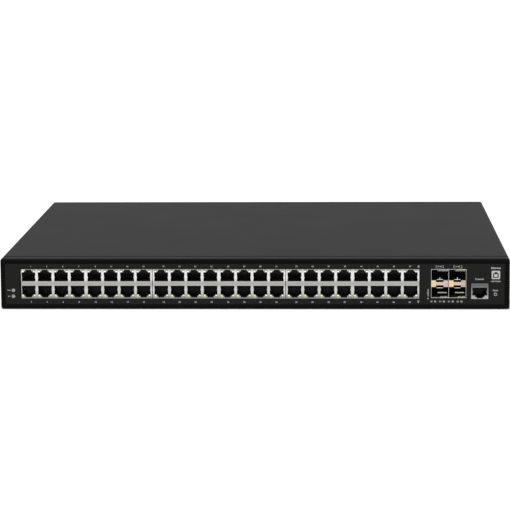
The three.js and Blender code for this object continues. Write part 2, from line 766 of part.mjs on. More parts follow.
// The socket for a three-pin mains lead, its pins inside and its tabs behind
function mainsInlet() {
  const { halfWidth, halfHeight, front } = INLET_BODY;
  const mouth = REAR_FACE + INLET.proud;
  const flange = block(
    -INLET.width / 2, INLET.width / 2, REAR_FACE + 0.05, mouth,
    -INLET.height / 2, INLET.height / 2,
  );
  const body = block(-halfWidth, halfWidth, front, mouth - 0.5, -halfHeight, halfHeight);
  const chamfer = 3.5;
  const cavity = polygon([
    [-12.2, -8.1],
    [12.2, -8.1],
    [12.2, 8.1 - chamfer],
    [12.2 - chamfer, 8.1],
    [-12.2 + chamfer, 8.1],
    [-12.2, 8.1 - chamfer],
  ]);
  const cavityFloor = mouth - 17;
  const pins = INLET_TABS.map(([x, z]) =>
    block(x - 1, x + 1, cavityFloor - 1, mouth - 4.5, z - 2, z + 2),
  );
  const tabs = INLET_TABS.map(([x, z]) =>
    block(x - 0.4, x + 0.4, front - TAB_LENGTH, front + 1, z - 2.4, z + 2.4),
  );
  const shell = cut(union([flange, body]), [prismY(cavity, cavityFloor, mouth + 1)]);
  return union([shell, ...pins, ...tabs]);
}

function round(radius) {
  return circle(0, 0, radius, 6);
}

// A wire from an inlet tab down to the power board
function mainsWire(tab, points) {
  const [x, z] = INLET_TABS[tab];
  const start = [INLET.x + x, INLET_BODY.front - TAB_LENGTH - GAP, INLET.z + z];
  const straight = [start[0], start[1] - 2.5, start[2]];
  return wire(round(1.2), [start, straight, ...points], 14);
}

function rearWiring(group) {
  add(group, "mains_inlet", mainsInlet(), BLACK_PLASTIC, [INLET.x, 0, INLET.z]);
  const live = [[-167, 136, 15], [-167, 135, 12], [-167, 135, WIRE_END]];
  const neutral = [[-153, 136, 15], [-153, 135, 12], [-153, 135, WIRE_END]];
  const earth = [
    [-164, 133, 26],
    [-172, 132, 26],
    [-180, 136, 22],
    [-191, 152, 15],
    [-196, 160, 12.2],
    [-196, 164.6, 12],
  ];
  add(group, "live_wire", mainsWire(0, live), BLACK_WIRE);
  add(group, "neutral_wire", mainsWire(1, neutral), BLUE_WIRE);
  add(group, "earth_wire", mainsWire(2, earth), EARTH_WIRE);
  const ribbon = polygon([
    [-1.3, -4],
    [1.3, -4],
    [1.6, -3],
    [1.6, 3],
    [1.3, 4],
    [-1.3, 4],
    [-1.6, 3],
    [-1.6, -3],
  ]);
  const supply = [
    [-135, 22, WIRE_END],
    [-135, 22, WIRE_END + 4],
    [-135, 14, 20],
    [-135, 3, 20],
    [-135, -14, WIRE_END + 4],
    [-135, -14, WIRE_END],
  ];
  add(group, "supply_harness", wire(ribbon, supply, 18), RED_WIRE);
}

// ---------------------------------------------------------------- fans

// Fans are built about the middle of their back face, with the air leaving towards +Y
function fanFrame() {
  const half = FAN_SIZE / 2;
  const bore = 18.8;
  const shell = block(-half, half, -FAN_THICKNESS, 0, -half, half);
  const duct = prismY(circle(0, 0, bore, 24), -FAN_THICKNESS - 1, 1);
  const screwHoles = [-16, 16].flatMap((x) => [-16, 16].map((z) =>
    prismY(circle(x, z, 2.1, 6), -FAN_THICKNESS - 1, 1),
  ));
  const plate = prismY(circle(0, 0, 11.5, 16), -2.8, 0);
  const post = prismY(circle(0, 0, 8.5, 16), -13, -2);
  const bearing = prismY(circle(0, 0, 2.1, 10), -14, -3.8);
  const struts = [90, 210, 330].map((angle) =>
    block(9, bore + 1, -2.8, 0, -1.3, 1.3).rotate([0, angle, 0]),
  );
  return union([cut(shell, [duct, ...screwHoles]), cut(union([plate, post]), [bearing]), ...struts]);
}

function fanRotor() {
  const tip = 18.2;
  const bladeCount = 7;
  const front = -19;
  const back = -3.5;
  const hub = turned(
    [[0, 0], [11, 0], [11.5, 0.5], [11.5, back - front], [10, back - front], [10, 1.2],
      [1.5, 1.2], [1.5, 13], [0, 13]],
    20,
  ).rotate([-90, 0, 0]).translate([0, front, 0]);
  const blade = new THREE.Shape();
  blade.moveTo(-6.6, 0.8);
  blade.quadraticCurveTo(2, 3, 6.6, 13.8);
  blade.lineTo(7.2, 13.4);
  blade.quadraticCurveTo(3, 1.8, -6.2, 0);
  blade.closePath();
  const disc = prismY(circle(0, 0, tip, 28), front, back);
  const blades = [];
  for (let i = 0; i < bladeCount; i += 1) {
    const wide = prismZ(blade, 10.8, tip + 2).translate([0, front + 0.6, 0]);
    blades.push(wide.rotate([0, (360 * i) / bladeCount, 0]).intersect(disc));
  }
  return union([hub, ...blades]);
}

// A fan's lead, from its frame along the floor to the rear edge of the main board
function fanLead(x) {
  const lead = x + 14;
  const front = FAN_BACK - FAN_THICKNESS;
  return wire(round(1.3), [
    [lead, front - GAP, 6],
    [lead, front - 5, 6],
    [lead - 1, front - 16, 3.8],
    [lead - 4, 100, 3.2],
    [lead + 2, 50, 3.2],
    [lead, 12, 3.8],
    [lead, 2, 8],
    [lead, -5, 14.5],
    [lead, -11, 13.5],
    [lead, -12, WIRE_END],
  ], 26);
}

function fans(group) {
  const frame = fanFrame();
  const rotor = fanRotor();
  FAN_XS.forEach((x, i) => {
    add(group, `fan_frame_${i + 1}`, frame, BLACK_PLASTIC, [x, FAN_BACK, FAN_Z]);
    add(group, `fan_rotor_${i + 1}`, rotor, BLACK_PLASTIC, [x, FAN_BACK, FAN_Z]);
    add(group, `fan_lead_${i + 1}`, fanLead(x), BLACK_WIRE);
  });
}

// ---------------------------------------------------------------- the whole switch

const rackSwitch = new THREE.Group();
rackSwitch.add(casing());
for (const build of [
  portBlocks, modulePorts, consolePort, frontControls, mainBoard, powerSupply, rearWiring, fans,
]) {
  const group = new THREE.Group();
  build(group);
  rackSwitch.add(group);
}

export default rackSwitch;
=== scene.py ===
# The looks of the rackmount network switch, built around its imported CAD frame.
# Lengths below are in millimetres in the frame's own axes, and make() turns them into metres:
# +X is to the right, +Z is up and the front faces -Y.

import json
from math import cos, hypot, pi, radians, sin

import bmesh
import bpy
from mathutils import Matrix, Vector
from mathutils.geometry import tessellate_polygon


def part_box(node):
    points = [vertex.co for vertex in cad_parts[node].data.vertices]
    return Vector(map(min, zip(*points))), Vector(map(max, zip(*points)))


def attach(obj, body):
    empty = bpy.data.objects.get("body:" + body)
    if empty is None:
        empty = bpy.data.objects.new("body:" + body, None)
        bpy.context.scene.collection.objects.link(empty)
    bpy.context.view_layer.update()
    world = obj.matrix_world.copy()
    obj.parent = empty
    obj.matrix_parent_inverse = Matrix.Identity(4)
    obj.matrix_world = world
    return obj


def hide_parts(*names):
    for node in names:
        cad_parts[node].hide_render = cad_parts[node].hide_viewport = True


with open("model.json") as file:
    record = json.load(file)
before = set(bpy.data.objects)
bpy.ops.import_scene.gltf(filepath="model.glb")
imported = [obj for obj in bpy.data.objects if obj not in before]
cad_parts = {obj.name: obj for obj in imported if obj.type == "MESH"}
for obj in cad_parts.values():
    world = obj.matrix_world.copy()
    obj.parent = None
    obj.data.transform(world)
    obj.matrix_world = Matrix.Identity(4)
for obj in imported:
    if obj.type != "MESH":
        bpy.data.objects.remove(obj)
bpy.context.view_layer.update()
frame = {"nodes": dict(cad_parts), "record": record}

MM = 0.001
scene = bpy.context.scene


def corners(node):
    """A CAD node's lowest and highest corner, in millimetres."""
    low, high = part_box(node)
    return low / MM, high / MM


# ---------- outlines


def rectangle(u0, u1, v0, v1):
    return [(u0, v0), (u1, v0), (u1, v1), (u0, v1)]


def circle(u, v, radius, sides=32):
    angles = [2 * pi * (i + 0.5) / sides for i in range(sides)]
    return [(u + radius * cos(a), v + radius * sin(a)) for a in angles]


def soften(points, radius, steps=4):
    """The outline with every corner rounded, as far as its edges leave room."""
    result = []
    for i, p in enumerate(points):
        before, after = points[i - 1], points[(i + 1) % len(points)]
        ends = []
        for q in (before, after):
            length = hypot(q[0] - p[0], q[1] - p[1])
            share = min(radius, 0.45 * length) / length
            ends.append((p[0] + (q[0] - p[0]) * share, p[1] + (q[1] - p[1]) * share))
        for k in range(steps + 1):
            t = k / steps
            a, b, c = (1 - t) ** 2, 2 * t * (1 - t), t * t
            result.append(tuple(a * ends[0][j] + b * p[j] + c * ends[1][j] for j in (0, 1)))
    return result


def rounded(u0, u1, v0, v1, radius, steps=4):
    return soften(rectangle(u0, u1, v0, v1), radius, steps)


def ribbon(points, thickness):
    """The outline of a bent strip of sheet, seen from its edge."""
    sides = ([], [])
    for i, p in enumerate(points):
        a, b = points[max(i - 1, 0)], points[min(i + 1, len(points) - 1)]
        length = hypot(b[0] - a[0], b[1] - a[1])
        n = (-(b[1] - a[1]) / length * thickness / 2, (b[0] - a[0]) / length * thickness / 2)
        sides[0].append((p[0] + n[0], p[1] + n[1]))
        sides[1].append((p[0] - n[0], p[1] - n[1]))
    return sides[0] + sides[1][::-1]


def curve_through(points, steps=6):
    """Points on a smooth curve through the given ones (Catmull-Rom)."""
    result = []
    last = len(points) - 1
    for i in range(last):
        p = [points[max(i - 1, 0)], points[i], points[i + 1], points[min(i + 2, last)]]
        for k in range(steps):
            t = k / steps
            weights = (
                -0.5 * t + t * t - 0.5 * t**3,
                1 - 2.5 * t * t + 1.5 * t**3,
                0.5 * t + 2 * t * t - 1.5 * t**3,
                -0.5 * t * t + 0.5 * t**3,
            )
            result.append(tuple(
                sum(w * q[j] for w, q in zip(weights, p)) for j in range(len(p[0]))
            ))
    return result + [tuple(points[last])]


# ---------- solids in mesh code

TURNS = {
    "x": lambda u, v, w: (w, u, v),
    "y": lambda u, v, w: (u, w, v),
    "z": lambda u, v, w: (u, v, w),
}


def add_loop(bm, axis, loop, level):
    return [bm.verts.new(TURNS[axis](u, v, level)) for u, v in loop]


def add_walls(bm, one, other):
    for i in range(len(one)):
        j = (i + 1) % len(one)
        bm.faces.new((one[i], one[j], other[j], other[i]))


def add_cap(bm, *loops):
    """A flat face inside the first loop and outside the others."""
    if len(loops) == 1:
        bm.faces.new(loops[0])
        return
    flat = [v for loop in loops for v in loop]
    for i, j, k in tessellate_polygon([[v.co for v in loop] for loop in loops]):
        bm.faces.new((flat[i], flat[j], flat[k]))


def add_skin(bm, rings, closed=(0, -1)):
    """Walls from each ring to the next, and flat faces over the closed ones."""
    for one, other in zip(rings, rings[1:]):
        add_walls(bm, one, other)
    for i in closed:
        add_cap(bm, rings[i])


def add_prism(bm, axis, a, b, outline, holes=()):
    ends = [[add_loop(bm, axis, loop, level) for loop in (outline, *holes)] for level in (a, b)]
    for one, other in zip(*ends):
        add_walls(bm, one, other)
    for loops in ends:
        add_cap(bm, *loops)


def add_pocketed(bm, axis, front, floor, back, outline, pockets):
    """A block from front to back, with pockets that reach from its front to the floor level."""
    face = [add_loop(bm, axis, loop, front) for loop in (outline, *pockets)]
    rear = add_loop(bm, axis, outline, back)
    add_cap(bm, *face)
    add_walls(bm, face[0], rear)
    add_cap(bm, rear)
    for loop, pocket in zip(face[1:], pockets):
        bottom = add_loop(bm, axis, pocket, floor)
        add_walls(bm, loop, bottom)
        add_cap(bm, bottom)


def add_box(bm, x0, x1, y0, y1, z0, z1):
    add_prism(bm, "z", z0, z1, rectangle(x0, x1, y0, y1))


def add_turned(bm, profile, place=Matrix(), sides=32, closed=False):
    """Turns [radius, height] points about the local Z axis and puts the solid in place. A
    profile starts and ends on the axis, or closed joins its end to its start, as in a ring."""
    rings = []
    for radius, height in profile:
        count = sides if radius > 0 else 1
        ring = []
        for i in range(count):
            angle = 2 * pi * i / sides
            at = Vector((radius * cos(angle), radius * sin(angle), height))
            ring.append(bm.verts.new(place @ at))
        rings.append(ring)
    if closed:
        rings.append(rings[0])
    for low, high in zip(rings, rings[1:]):
        for i in range(sides):
            j = (i + 1) % sides
            if len(low) == 1:
                bm.faces.new((low[0], high[j], high[i]))
            elif len(high) == 1:
                bm.faces.new((low[i], low[j], high[0]))
            else:
                bm.faces.new((low[i], low[j], high[j], high[i]))


def add_tube(bm, points, radius, sides=8):
    path = [Vector(p) for p in points]
    up = Vector((1, 0, 0))
    rings = []
    for i, p in enumerate(path):
        along = (path[min(i + 1, len(path) - 1)] - path[max(i - 1, 0)]).normalized()
        side = along.cross(up if abs(along.dot(up)) < 0.9 else Vector((0, 0, 1))).normalized()
        other = along.cross(side)
        angles = [2 * pi * k / sides for k in range(sides)]
        rings.append([
            bm.verts.new(p + radius * (cos(a) * side + sin(a) * other)) for a in angles
        ])
    add_skin(bm, rings)


def moved(x, y, z):
    return Matrix.Translation((x, y, z))


# Turns of a solid made pointing up, so that it points to the named direction
FACING = {
    "front": Matrix.Rotation(pi / 2, 4, "X"),
    "rear": Matrix.Rotation(-pi / 2, 4, "X"),
    "right": Matrix.Rotation(pi / 2, 4, "Y"),
    "left": Matrix.Rotation(-pi / 2, 4, "Y"),
}


# ---------- pieces


def mesh_object(name, bm):
    bmesh.ops.recalc_face_normals(bm, faces=bm.faces)
    bmesh.ops.scale(bm, vec=(MM, MM, MM), verts=bm.verts)
    mesh = bpy.data.meshes.new(name)
    bm.to_mesh(mesh)
    bm.free()
    piece = bpy.data.objects.new(name, mesh)
    scene.collection.objects.link(piece)
    return piece


def cut(piece, bm, operation="DIFFERENCE"):
    """Takes the solids in bm away from the piece's mesh, or joins them to it."""
    tool = mesh_object("tool", bm)
    modifier = piece.modifiers.new("cut", "BOOLEAN")
    modifier.operation = operation
    modifier.solver = "EXACT"
    modifier.object = tool
    depsgraph = bpy.context.evaluated_depsgraph_get()
    result = bpy.data.meshes.new_from_object(piece.evaluated_get(depsgraph))
    piece.modifiers.clear()
    old = piece.data
    piece.data = result
    bpy.data.meshes.remove(old)
    bpy.data.objects.remove(tool)


def make(name, shape, material, body="chassis", replaces=(), bevel=0, sharp=35):
    """Finishes a piece: its shading, its edges, its material and the body that it rides on."""
    piece = mesh_object(name, shape) if isinstance(shape, bmesh.types.BMesh) else shape
    piece.name = name
    piece.data.name = name
    piece.data.materials.clear()
    piece.data.materials.append(material)
    piece.data.shade_smooth()
    piece.data.set_sharp_from_angle(angle=radians(sharp))
    if bevel:
        modifier = piece.modifiers.new("edges", "BEVEL")
        modifier.width = bevel * MM
        modifier.segments = 2
        modifier.limit_method = "ANGLE"
        modifier.angle_limit = radians(40)
        modifier.harden_normals = True
    else:
        modifier = piece.modifiers.new("normals", "WEIGHTED_NORMAL")
        modifier.keep_sharp = True
    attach(piece, body)
    if replaces:
        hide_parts(*replaces)
    return piece


# ---------- materials


def set_inputs(node, values):
    for name, value in values.items():
        node.inputs[name].default_value = value
    return node


def surface(
    name, colour, rough=0.5, metal=0.0, specular=0.5, shade=(0.08, 20), rough_spread=0.05,
    grain=None, stretch=(1, 1, 1), coat=0.0, sheen=0.0,
):
    """A procedural finish. The slow change of colour and roughness, shade, and the fine bumps,
    grain, are each a pair of strength and size. Noise is finer along an axis of larger stretch."""
    material = bpy.data.materials.new(name)
    material.use_nodes = True
    nodes, links = material.node_tree.nodes, material.node_tree.links
    shader = set_inputs(nodes["Principled BSDF"], {
        "Metallic": metal, "Specular IOR Level": specular, "Coat Weight": coat,
        "Sheen Weight": sheen, "Sheen Roughness": 0.45,
    })
    place = nodes.new("ShaderNodeTexCoord")
    mapping = set_inputs(nodes.new("ShaderNodeMapping"), {"Scale": stretch})
    links.new(place.outputs["Object"], mapping.inputs["Vector"])

    spread, size = shade
    slow = nodes.new("ShaderNodeTexNoise")
    set_inputs(slow, {"Scale": 1 / (size * MM), "Detail": 4})
    links.new(mapping.outputs["Vector"], slow.inputs["Vector"])
    ramp = nodes.new("ShaderNodeValToRGB")
    for stop, at, share in zip(ramp.color_ramp.elements, (0.3, 0.7), (1 - spread, 1 + spread)):
        stop.color = (*(min(1, c * share) for c in colour), 1)
        stop.position = at
    links.new(slow.outputs["Fac"], ramp.inputs["Fac"])
    links.new(ramp.outputs["Color"], shader.inputs["Base Color"])

    polish = set_inputs(nodes.new("ShaderNodeMapRange"), {
        "To Min": max(0.02, rough - rough_spread), "To Max": min(1, rough + rough_spread),
    })
    links.new(slow.outputs["Fac"], polish.inputs["Value"])
    links.new(polish.outputs["Result"], shader.inputs["Roughness"])

    if grain:
        strength, size = grain
        fine = nodes.new("ShaderNodeTexNoise")
        set_inputs(fine, {"Scale": 1 / (size * MM), "Detail": 2})
        links.new(mapping.outputs["Vector"], fine.inputs["Vector"])
        bump = nodes.new("ShaderNodeBump")
        set_inputs(bump, {"Strength": strength, "Distance": size * MM / 10})
        links.new(fine.outputs["Fac"], bump.inputs["Height"])
        links.new(bump.outputs["Normal"], shader.inputs["Normal"])
    return material


def colour_along(axis, stops, material, interpolation="LINEAR"):
    """Adds a colour that changes along an axis, as a list of (place, colour), and returns it."""
    nodes, links = material.node_tree.nodes, material.node_tree.links
    place = nodes.new("ShaderNodeTexCoord")
    parts = nodes.new("ShaderNodeSeparateXYZ")
    links.new(place.outputs["Object"], parts.inputs["Vector"])
    reach = nodes.new("ShaderNodeMapRange")
    first, last = stops[0][0], stops[-1][0]
    set_inputs(reach, {"From Min": first * MM, "From Max": last * MM})
    links.new(parts.outputs[axis], reach.inputs["Value"])
    ramp = nodes.new("ShaderNodeValToRGB")
    ramp.color_ramp.interpolation = interpolation
    while len(ramp.color_ramp.elements) < len(stops):
        ramp.color_ramp.elements.new(0.5)
    for stop, (at, colour) in zip(ramp.color_ramp.elements, stops):
        stop.position = (at - first) / (last - first)
        stop.color = (*colour, 1)
    links.new(reach.outputs["Result"], ramp.inputs["Fac"])
    return ramp.outputs["Color"]


def grade(material, stops):
    """Multiplies a finish's colour by shares that change with height: a list of (z, share)."""
    nodes, links = material.node_tree.nodes, material.node_tree.links
    colour = nodes["Principled BSDF"].inputs["Base Color"]
    product = nodes.new("ShaderNodeMix")
    product.data_type = "RGBA"
    product.blend_type = "MULTIPLY"
    product.inputs["Factor"].default_value = 1
    shares = colour_along("Z", [(z, (share, share, share)) for z, share in stops], material)
    links.new(colour.links[0].from_socket, product.inputs["A"])
    links.new(shares, product.inputs["B"])
    links.new(product.outputs["Result"], colour)
    return material


PAINT = surface("black_powder_coat", (0.0013, 0.0013, 0.0012), rough=0.48, specular=0.04,
                shade=(0.06, 50), rough_spread=0.03, grain=(0.35, 0.6), sheen=0.06)
FILM = surface("satin_black_film", (0.0054, 0.0052, 0.0041), rough=0.38, specular=0.13,
               shade=(0.05, 40), rough_spread=0.03, grain=(0.12, 0.25))
INK = surface("light_grey_ink", (0.36, 0.36, 0.37), rough=0.6, specular=0.3, shade=(0.1, 2))
INK_WHITE = surface("white_ink", (0.42, 0.42, 0.41), rough=0.6, specular=0.3, shade=(0.08, 2))
# Painted shade: the plating's colour is brightest beside the upper row of ports, and is painted
# darker along the band between the rows and towards its edges, where its reflections are darker
NICKEL = surface("bright_nickel", (0.86, 0.845, 0.8), rough=0.3, metal=1, shade=(0.06, 6),
                 rough_spread=0.08, grain=(0.12, 0.5), stretch=(1, 1, 3))
grade(NICKEL, [(9, 0.24), (12, 0.48), (14, 0.66), (19.5, 0.66), (20.4, 0.48), (24, 0.48),
               (25, 0.84), (32, 0.9), (35, 0.45)])
PAD = surface("polished_nickel_edge", (0.9, 0.89, 0.85), rough=0.25, metal=1, shade=(0.06, 2),
              rough_spread=0.05)
STEEL = surface("cage_steel", (0.48, 0.48, 0.47), rough=0.34, metal=1, shade=(0.08, 8),
                rough_spread=0.06, grain=(0.15, 0.5), stretch=(1, 3, 1))
SPRING_STEEL = surface("spring_steel", (0.66, 0.65, 0.62), rough=0.25, metal=1, shade=(0.05, 4),
                       grain=(0.08, 0.4))
# Painted shade: a darker copy of the spring steel, for the springs on the floor of the cage
SPRING_SHADED = surface("shaded_spring_steel", (0.14, 0.13, 0.13), rough=0.4, metal=1, shade=(0.12, 4),
                      grain=(0.08, 0.4))
CONSOLE_STEEL = surface("console_steel", (0.74, 0.74, 0.73), rough=0.36, metal=1, shade=(0.08, 5),
                        grain=(0.15, 0.5), stretch=(1, 1, 3))
# Painted shade: the shield's colour is painted darker towards its top
grade(CONSOLE_STEEL, [(9, 0.58), (11.5, 0.5), (13, 0.38), (17.5, 0.35), (18.7, 0.24), (21, 0.17),
                      (22.4, 0.22)])
FINGER_GREY = surface("grey_spring_steel", (0.27, 0.27, 0.26), rough=0.4, metal=1,
                      shade=(0.12, 3), grain=(0.08, 0.4))
FINGER_OLIVE = surface("passivated_spring_steel", (0.29, 0.295, 0.18), rough=0.4, metal=1,
                       shade=(0.08, 4), grain=(0.08, 0.4))
# Painted shade: the fingers low in the cage are painted darker than those at its top
for metal in (FINGER_GREY, FINGER_OLIVE):
    grade(metal, [(9, 0.72), (20, 0.72), (25, 1), (35, 1)])
SOCKET_BLACK = surface("socket_nylon", (0.008, 0.008, 0.009), specular=0.3,
                       shade=(0.1, 4), grain=(0.2, 0.3))
# Painted shade: the contacts' gold is made dark, for the shade deep inside the sockets
GOLD = surface("contact_gold", (0.17, 0.125, 0.06), rough=0.28, metal=1, shade=(0.08, 3),
               grain=(0.05, 0.2))
LENS_CLEAR = surface("clear_lamp", (0.27, 0.275, 0.22), rough=0.22, specular=0.6,
                     shade=(0.12, 1.5), coat=0.3)
LENS_GREEN = surface("yellow_green_lamp", (0.44, 0.5, 0.13), rough=0.22, specular=0.6,
                     shade=(0.15, 1.5), coat=0.3)
GUIDE = surface("light_guide", (0.21, 0.22, 0.21), rough=0.25, specular=0.6, shade=(0.15, 1.5),
                coat=0.4)
SCREW_BLACK = surface("black_oxide", (0.02, 0.02, 0.021), rough=0.35, metal=0.6, shade=(0.15, 2),
                      grain=(0.1, 0.3))
SCREW_NICKEL = surface("screw_nickel", (0.7, 0.69, 0.66), rough=0.3, metal=1, shade=(0.08, 3),
                       grain=(0.1, 0.3))
FAN_BLACK = surface("fan_plastic", (0.014, 0.014, 0.015), rough=0.42, specular=0.45,
                    shade=(0.1, 8), grain=(0.15, 0.3))
IMPELLER = surface("impeller_plastic", (0.05, 0.05, 0.052), rough=0.4, specular=0.45,
                   shade=(0.1, 8), grain=(0.1, 0.3))
LABEL_GREY = surface("fan_label", (0.5, 0.5, 0.5), rough=0.4, shade=(0.04, 4))
BOARD = surface("solder_mask", (0.008, 0.06, 0.02), rough=0.35, shade=(0.25, 3),
                grain=(0.2, 0.8))
CHIP = surface("moulded_epoxy", (0.02, 0.02, 0.021), rough=0.6, shade=(0.1, 3), grain=(0.3, 0.3))
ALUMINIUM = surface("extruded_aluminium", (0.6, 0.61, 0.62), rough=0.35, metal=1, shade=(0.06, 10),
                    grain=(0.25, 0.6), stretch=(1, 0.1, 1))
FERRITE = surface("ferrite", (0.04, 0.04, 0.042), rough=0.7, shade=(0.2, 4), grain=(0.3, 0.5))
SLEEVE = surface("capacitor_sleeve", (0.012, 0.02, 0.05), rough=0.3, shade=(0.1, 6))
COPPER = surface("enamelled_copper", (0.6, 0.22, 0.08), rough=0.3, metal=0.8, shade=(0.2, 1.2),
                 stretch=(1, 6, 1), grain=(0.6, 1.2))
INSULATOR = surface("insulating_sheet", (0.7, 0.66, 0.54), shade=(0.05, 20),
                    grain=(0.2, 1))
WIRES = {
    name: surface(name, colour, shade=(shade, 10)) for name, colour, shade in (
        ("black_wire", (0.012, 0.012, 0.012), 0.1),
        ("blue_wire", (0.03, 0.08, 0.3), 0.1),
        ("earth_wire", (0.12, 0.3, 0.03), 0.15),
        ("red_wire", (0.4, 0.02, 0.02), 0.1),
    )
}

# The finish of each material slot's CAD nodes, for the nodes that stay
SLOT_FINISH = {
    "chassis_paint": PAINT,
    "front_film": FILM,
    "cover_screws": SCREW_BLACK,
    "nickel": NICKEL,
    "socket_plastic": SOCKET_BLACK,
    "cage_steel": STEEL,
    "module_spacer": SPRING_STEEL,
    "light_guide": GUIDE,
    "circuit_board": BOARD,
    "chip_package": CHIP,
    "heatsink_aluminium": ALUMINIUM,
    "ferrite": FERRITE,
    "capacitor_sleeve": SLEEVE,
    "choke_winding": COPPER,
    "insulating_sheet": INSULATOR,
    "fan_plastic": FAN_BLACK,
    **WIRES,
}
for part in frame["record"]["subparts"]:
    finishes = frame["nodes"][part["node"]].data.materials
    finishes.clear()
    finishes.append(SLOT_FINISH[part["material_slot"]])


# ---------- sizes that the pieces share

def span(node, axis):
    """A CAD node's lowest and highest place along an axis."""
    low, high = corners(node)
    return low[axis], high[axis]


def centre(node):
    low, high = corners(node)
    return (low + high) / 2


X, Y, Z = 0, 1, 2
SHEET = 1.0
LEFT, RIGHT = span("top_cover", X)
HEIGHT = span("top_cover", Z)[1]
COVER_FRONT, REAR = span("top_cover", Y)
FRONT, PAN_BACK = span("front_panel", Y)
PROUD = span("port_block_shield_1", Y)[0]  # the front of all that stands through the panel
FILM_FRONT, FILM_BACK = span("front_film", Y)
BOARD_TOP, BLOCK_TOP = span("port_block_shield_1", Z)
BLOCK_XS = [centre(f"port_block_shield_{i}").x for i in (1, 2, 3)]
BLOCK_HALF = span("port_block_shield_1", X)[1] - BLOCK_XS[0]
BAND = (20.35, 24.25)  # the strip of shield between the two rows of ports
PORT_XS = [(i - 3.5) * 14.2 + (0.25 if i > 3 else -0.25) for i in range(8)]
CAGE_X, CAGE_TOP = span("module_cage", X), span("module_cage", Z)[1]
CONSOLE_X, CONSOLE_TOP = span("console_shield", X), span("console_shield", Z)[1]
CONSOLE_MOUTH_TOP = 18.75
RESET_X, _, RESET_Z = centre("reset_button")
STATUS_X, STATUS_ZS = centre("status_light_guide").x, (10.9, 16.2)
LAMP_XS, LAMP_Z = (156.1, 163.6, 171.2, 178.7), centre("module_light_guide").z
FAN_XS, FAN_Z = [centre(f"fan_frame_{i}").x for i in (1, 2)], centre("fan_frame_1").z
FAN_BACK = span("fan_frame_1", Y)[1]
FAN_HOLES = [(u, v) for u in (-16, 16) for v in (-16, 16)]  # screw holes, from a fan's middle
INLET_X, INLET_Z = -160, 21
GROUND_X, GROUND_Z = -196, 12
SHEET_BOTTOM = 9.1  # the lower edge of the plated sheets that show in the front
SHIELD_TOP = 34.85  # the upper edge of the port blocks' sheets


def front_holes(margin, pinhole=0.95):
    """The holes that the front panel and its film share."""
    low, top = BOARD_TOP - margin, BLOCK_TOP + margin
    holes = [
        rectangle(BLOCK_XS[0] - BLOCK_HALF - margin, BLOCK_XS[2] + BLOCK_HALF + margin, low, top),
        rectangle(CAGE_X[0] - margin, CAGE_X[1] + margin, low, CAGE_TOP + margin),
        rectangle(CONSOLE_X[0] - margin, CONSOLE_X[1] + margin, low, CONSOLE_TOP + margin),
        circle(RESET_X, RESET_Z, pinhole, 24),
    ]
    holes += [circle(STATUS_X, z, 1.7 + margin) for z in STATUS_ZS]
    holes += [circle(x, LAMP_Z, 1 + margin, 24) for x in LAMP_XS]
    return holes


# ---------- casing

PAN_TOP = HEIGHT - 0.2  # the cover's edge stands a little above the pan's flange
# x, z, corner radius and bend of the front edge at each corner of the pan
PAN_ARCS = [(LEFT, 0, 1.6, 1.55), (RIGHT, 0, 1.6, 1.55),
            (RIGHT, PAN_TOP, 2.2, 2.0), (LEFT, PAN_TOP, 2.2, 2.0)]
TOP_BEND = 2.0


def dished(inset, front, back):
    """A block with the outline of the pan, less an inset, and its front edges bent round."""
    steps = 8
    outline = []  # points of the outline: place, direction inwards, bend
    for corner, (x, z, radius, bend) in enumerate(PAN_ARCS):
        radius, bend = radius - inset, bend - inset
        u = x + (1 if x < 0 else -1) * (inset + radius)
        v = z + (1 if z < HEIGHT / 2 else -1) * (inset + radius)
        if corner == 3:
            for top_x in (RIGHT - 14, LEFT + 14):
                outline.append(((top_x, PAN_TOP - inset), (0, -1), TOP_BEND - inset))
        for k in range(steps + 1):
            angle = radians(180 + 90 * corner + 90 * k / steps)
            out = (cos(angle), sin(angle))
            outline.append(((u + radius * out[0], v + radius * out[1]), (-out[0], -out[1]), bend))
    bm = bmesh.new()
    rings = [add_loop(bm, "y", [place for place, _, _ in outline], back)]
    for k in range(steps + 1):
        angle = radians(90 * k / steps)
        ring = []
        for (u, v), inwards, bend in outline:
            drop = bend * (1 - cos(angle))
            at = (u + inwards[0] * drop, front + bend * (1 - sin(angle)), v + inwards[1] * drop)
            ring.append(bm.verts.new(at))
        rings.append(ring)
    add_skin(bm, rings)
    return bm


def front_panel():
    pan = mesh_object("front_pan", dished(0, FRONT, PAN_BACK))
    cut(pan, dished(SHEET, FRONT + SHEET, PAN_BACK + 5))
    tool = bmesh.new()
    for hole in front_holes(0.3):
        add_prism(tool, "y", FRONT - 3, PAN_BACK + 1, hole)
    cut(pan, tool)
    make("front_pan", pan, PAINT, replaces=["front_panel"])


COVER_SCREW_YS = (-106, 10, 126)
COVER_SCREW_Z = 6.5
SLOT_STARTS = (-92, 30)  # the first ventilation slot of each group of nine in the sides
COVER_GAP = 0.3  # widens the seam in front of the cover
EAR_HOLES = [(y, z) for y in (-152, -124) for z in (10, 34)]  # for the rack ears, as (y, z)


def arch(inset, radius, steps=10):
    """The cover's section from its right lower edge over the top, less an inset."""
    side_x, low = RIGHT - inset, 0.2
    path = [(side_x, low)]
    for side, first in ((1, 0), (-1, 90)):
        for k in range(steps + 1):
            angle = radians(90 * k / steps + first)
            path.append((
                side * (side_x - radius) + radius * cos(angle),
                HEIGHT - inset - radius + radius * sin(angle),
            ))
    return path + [(-side_x, low)]


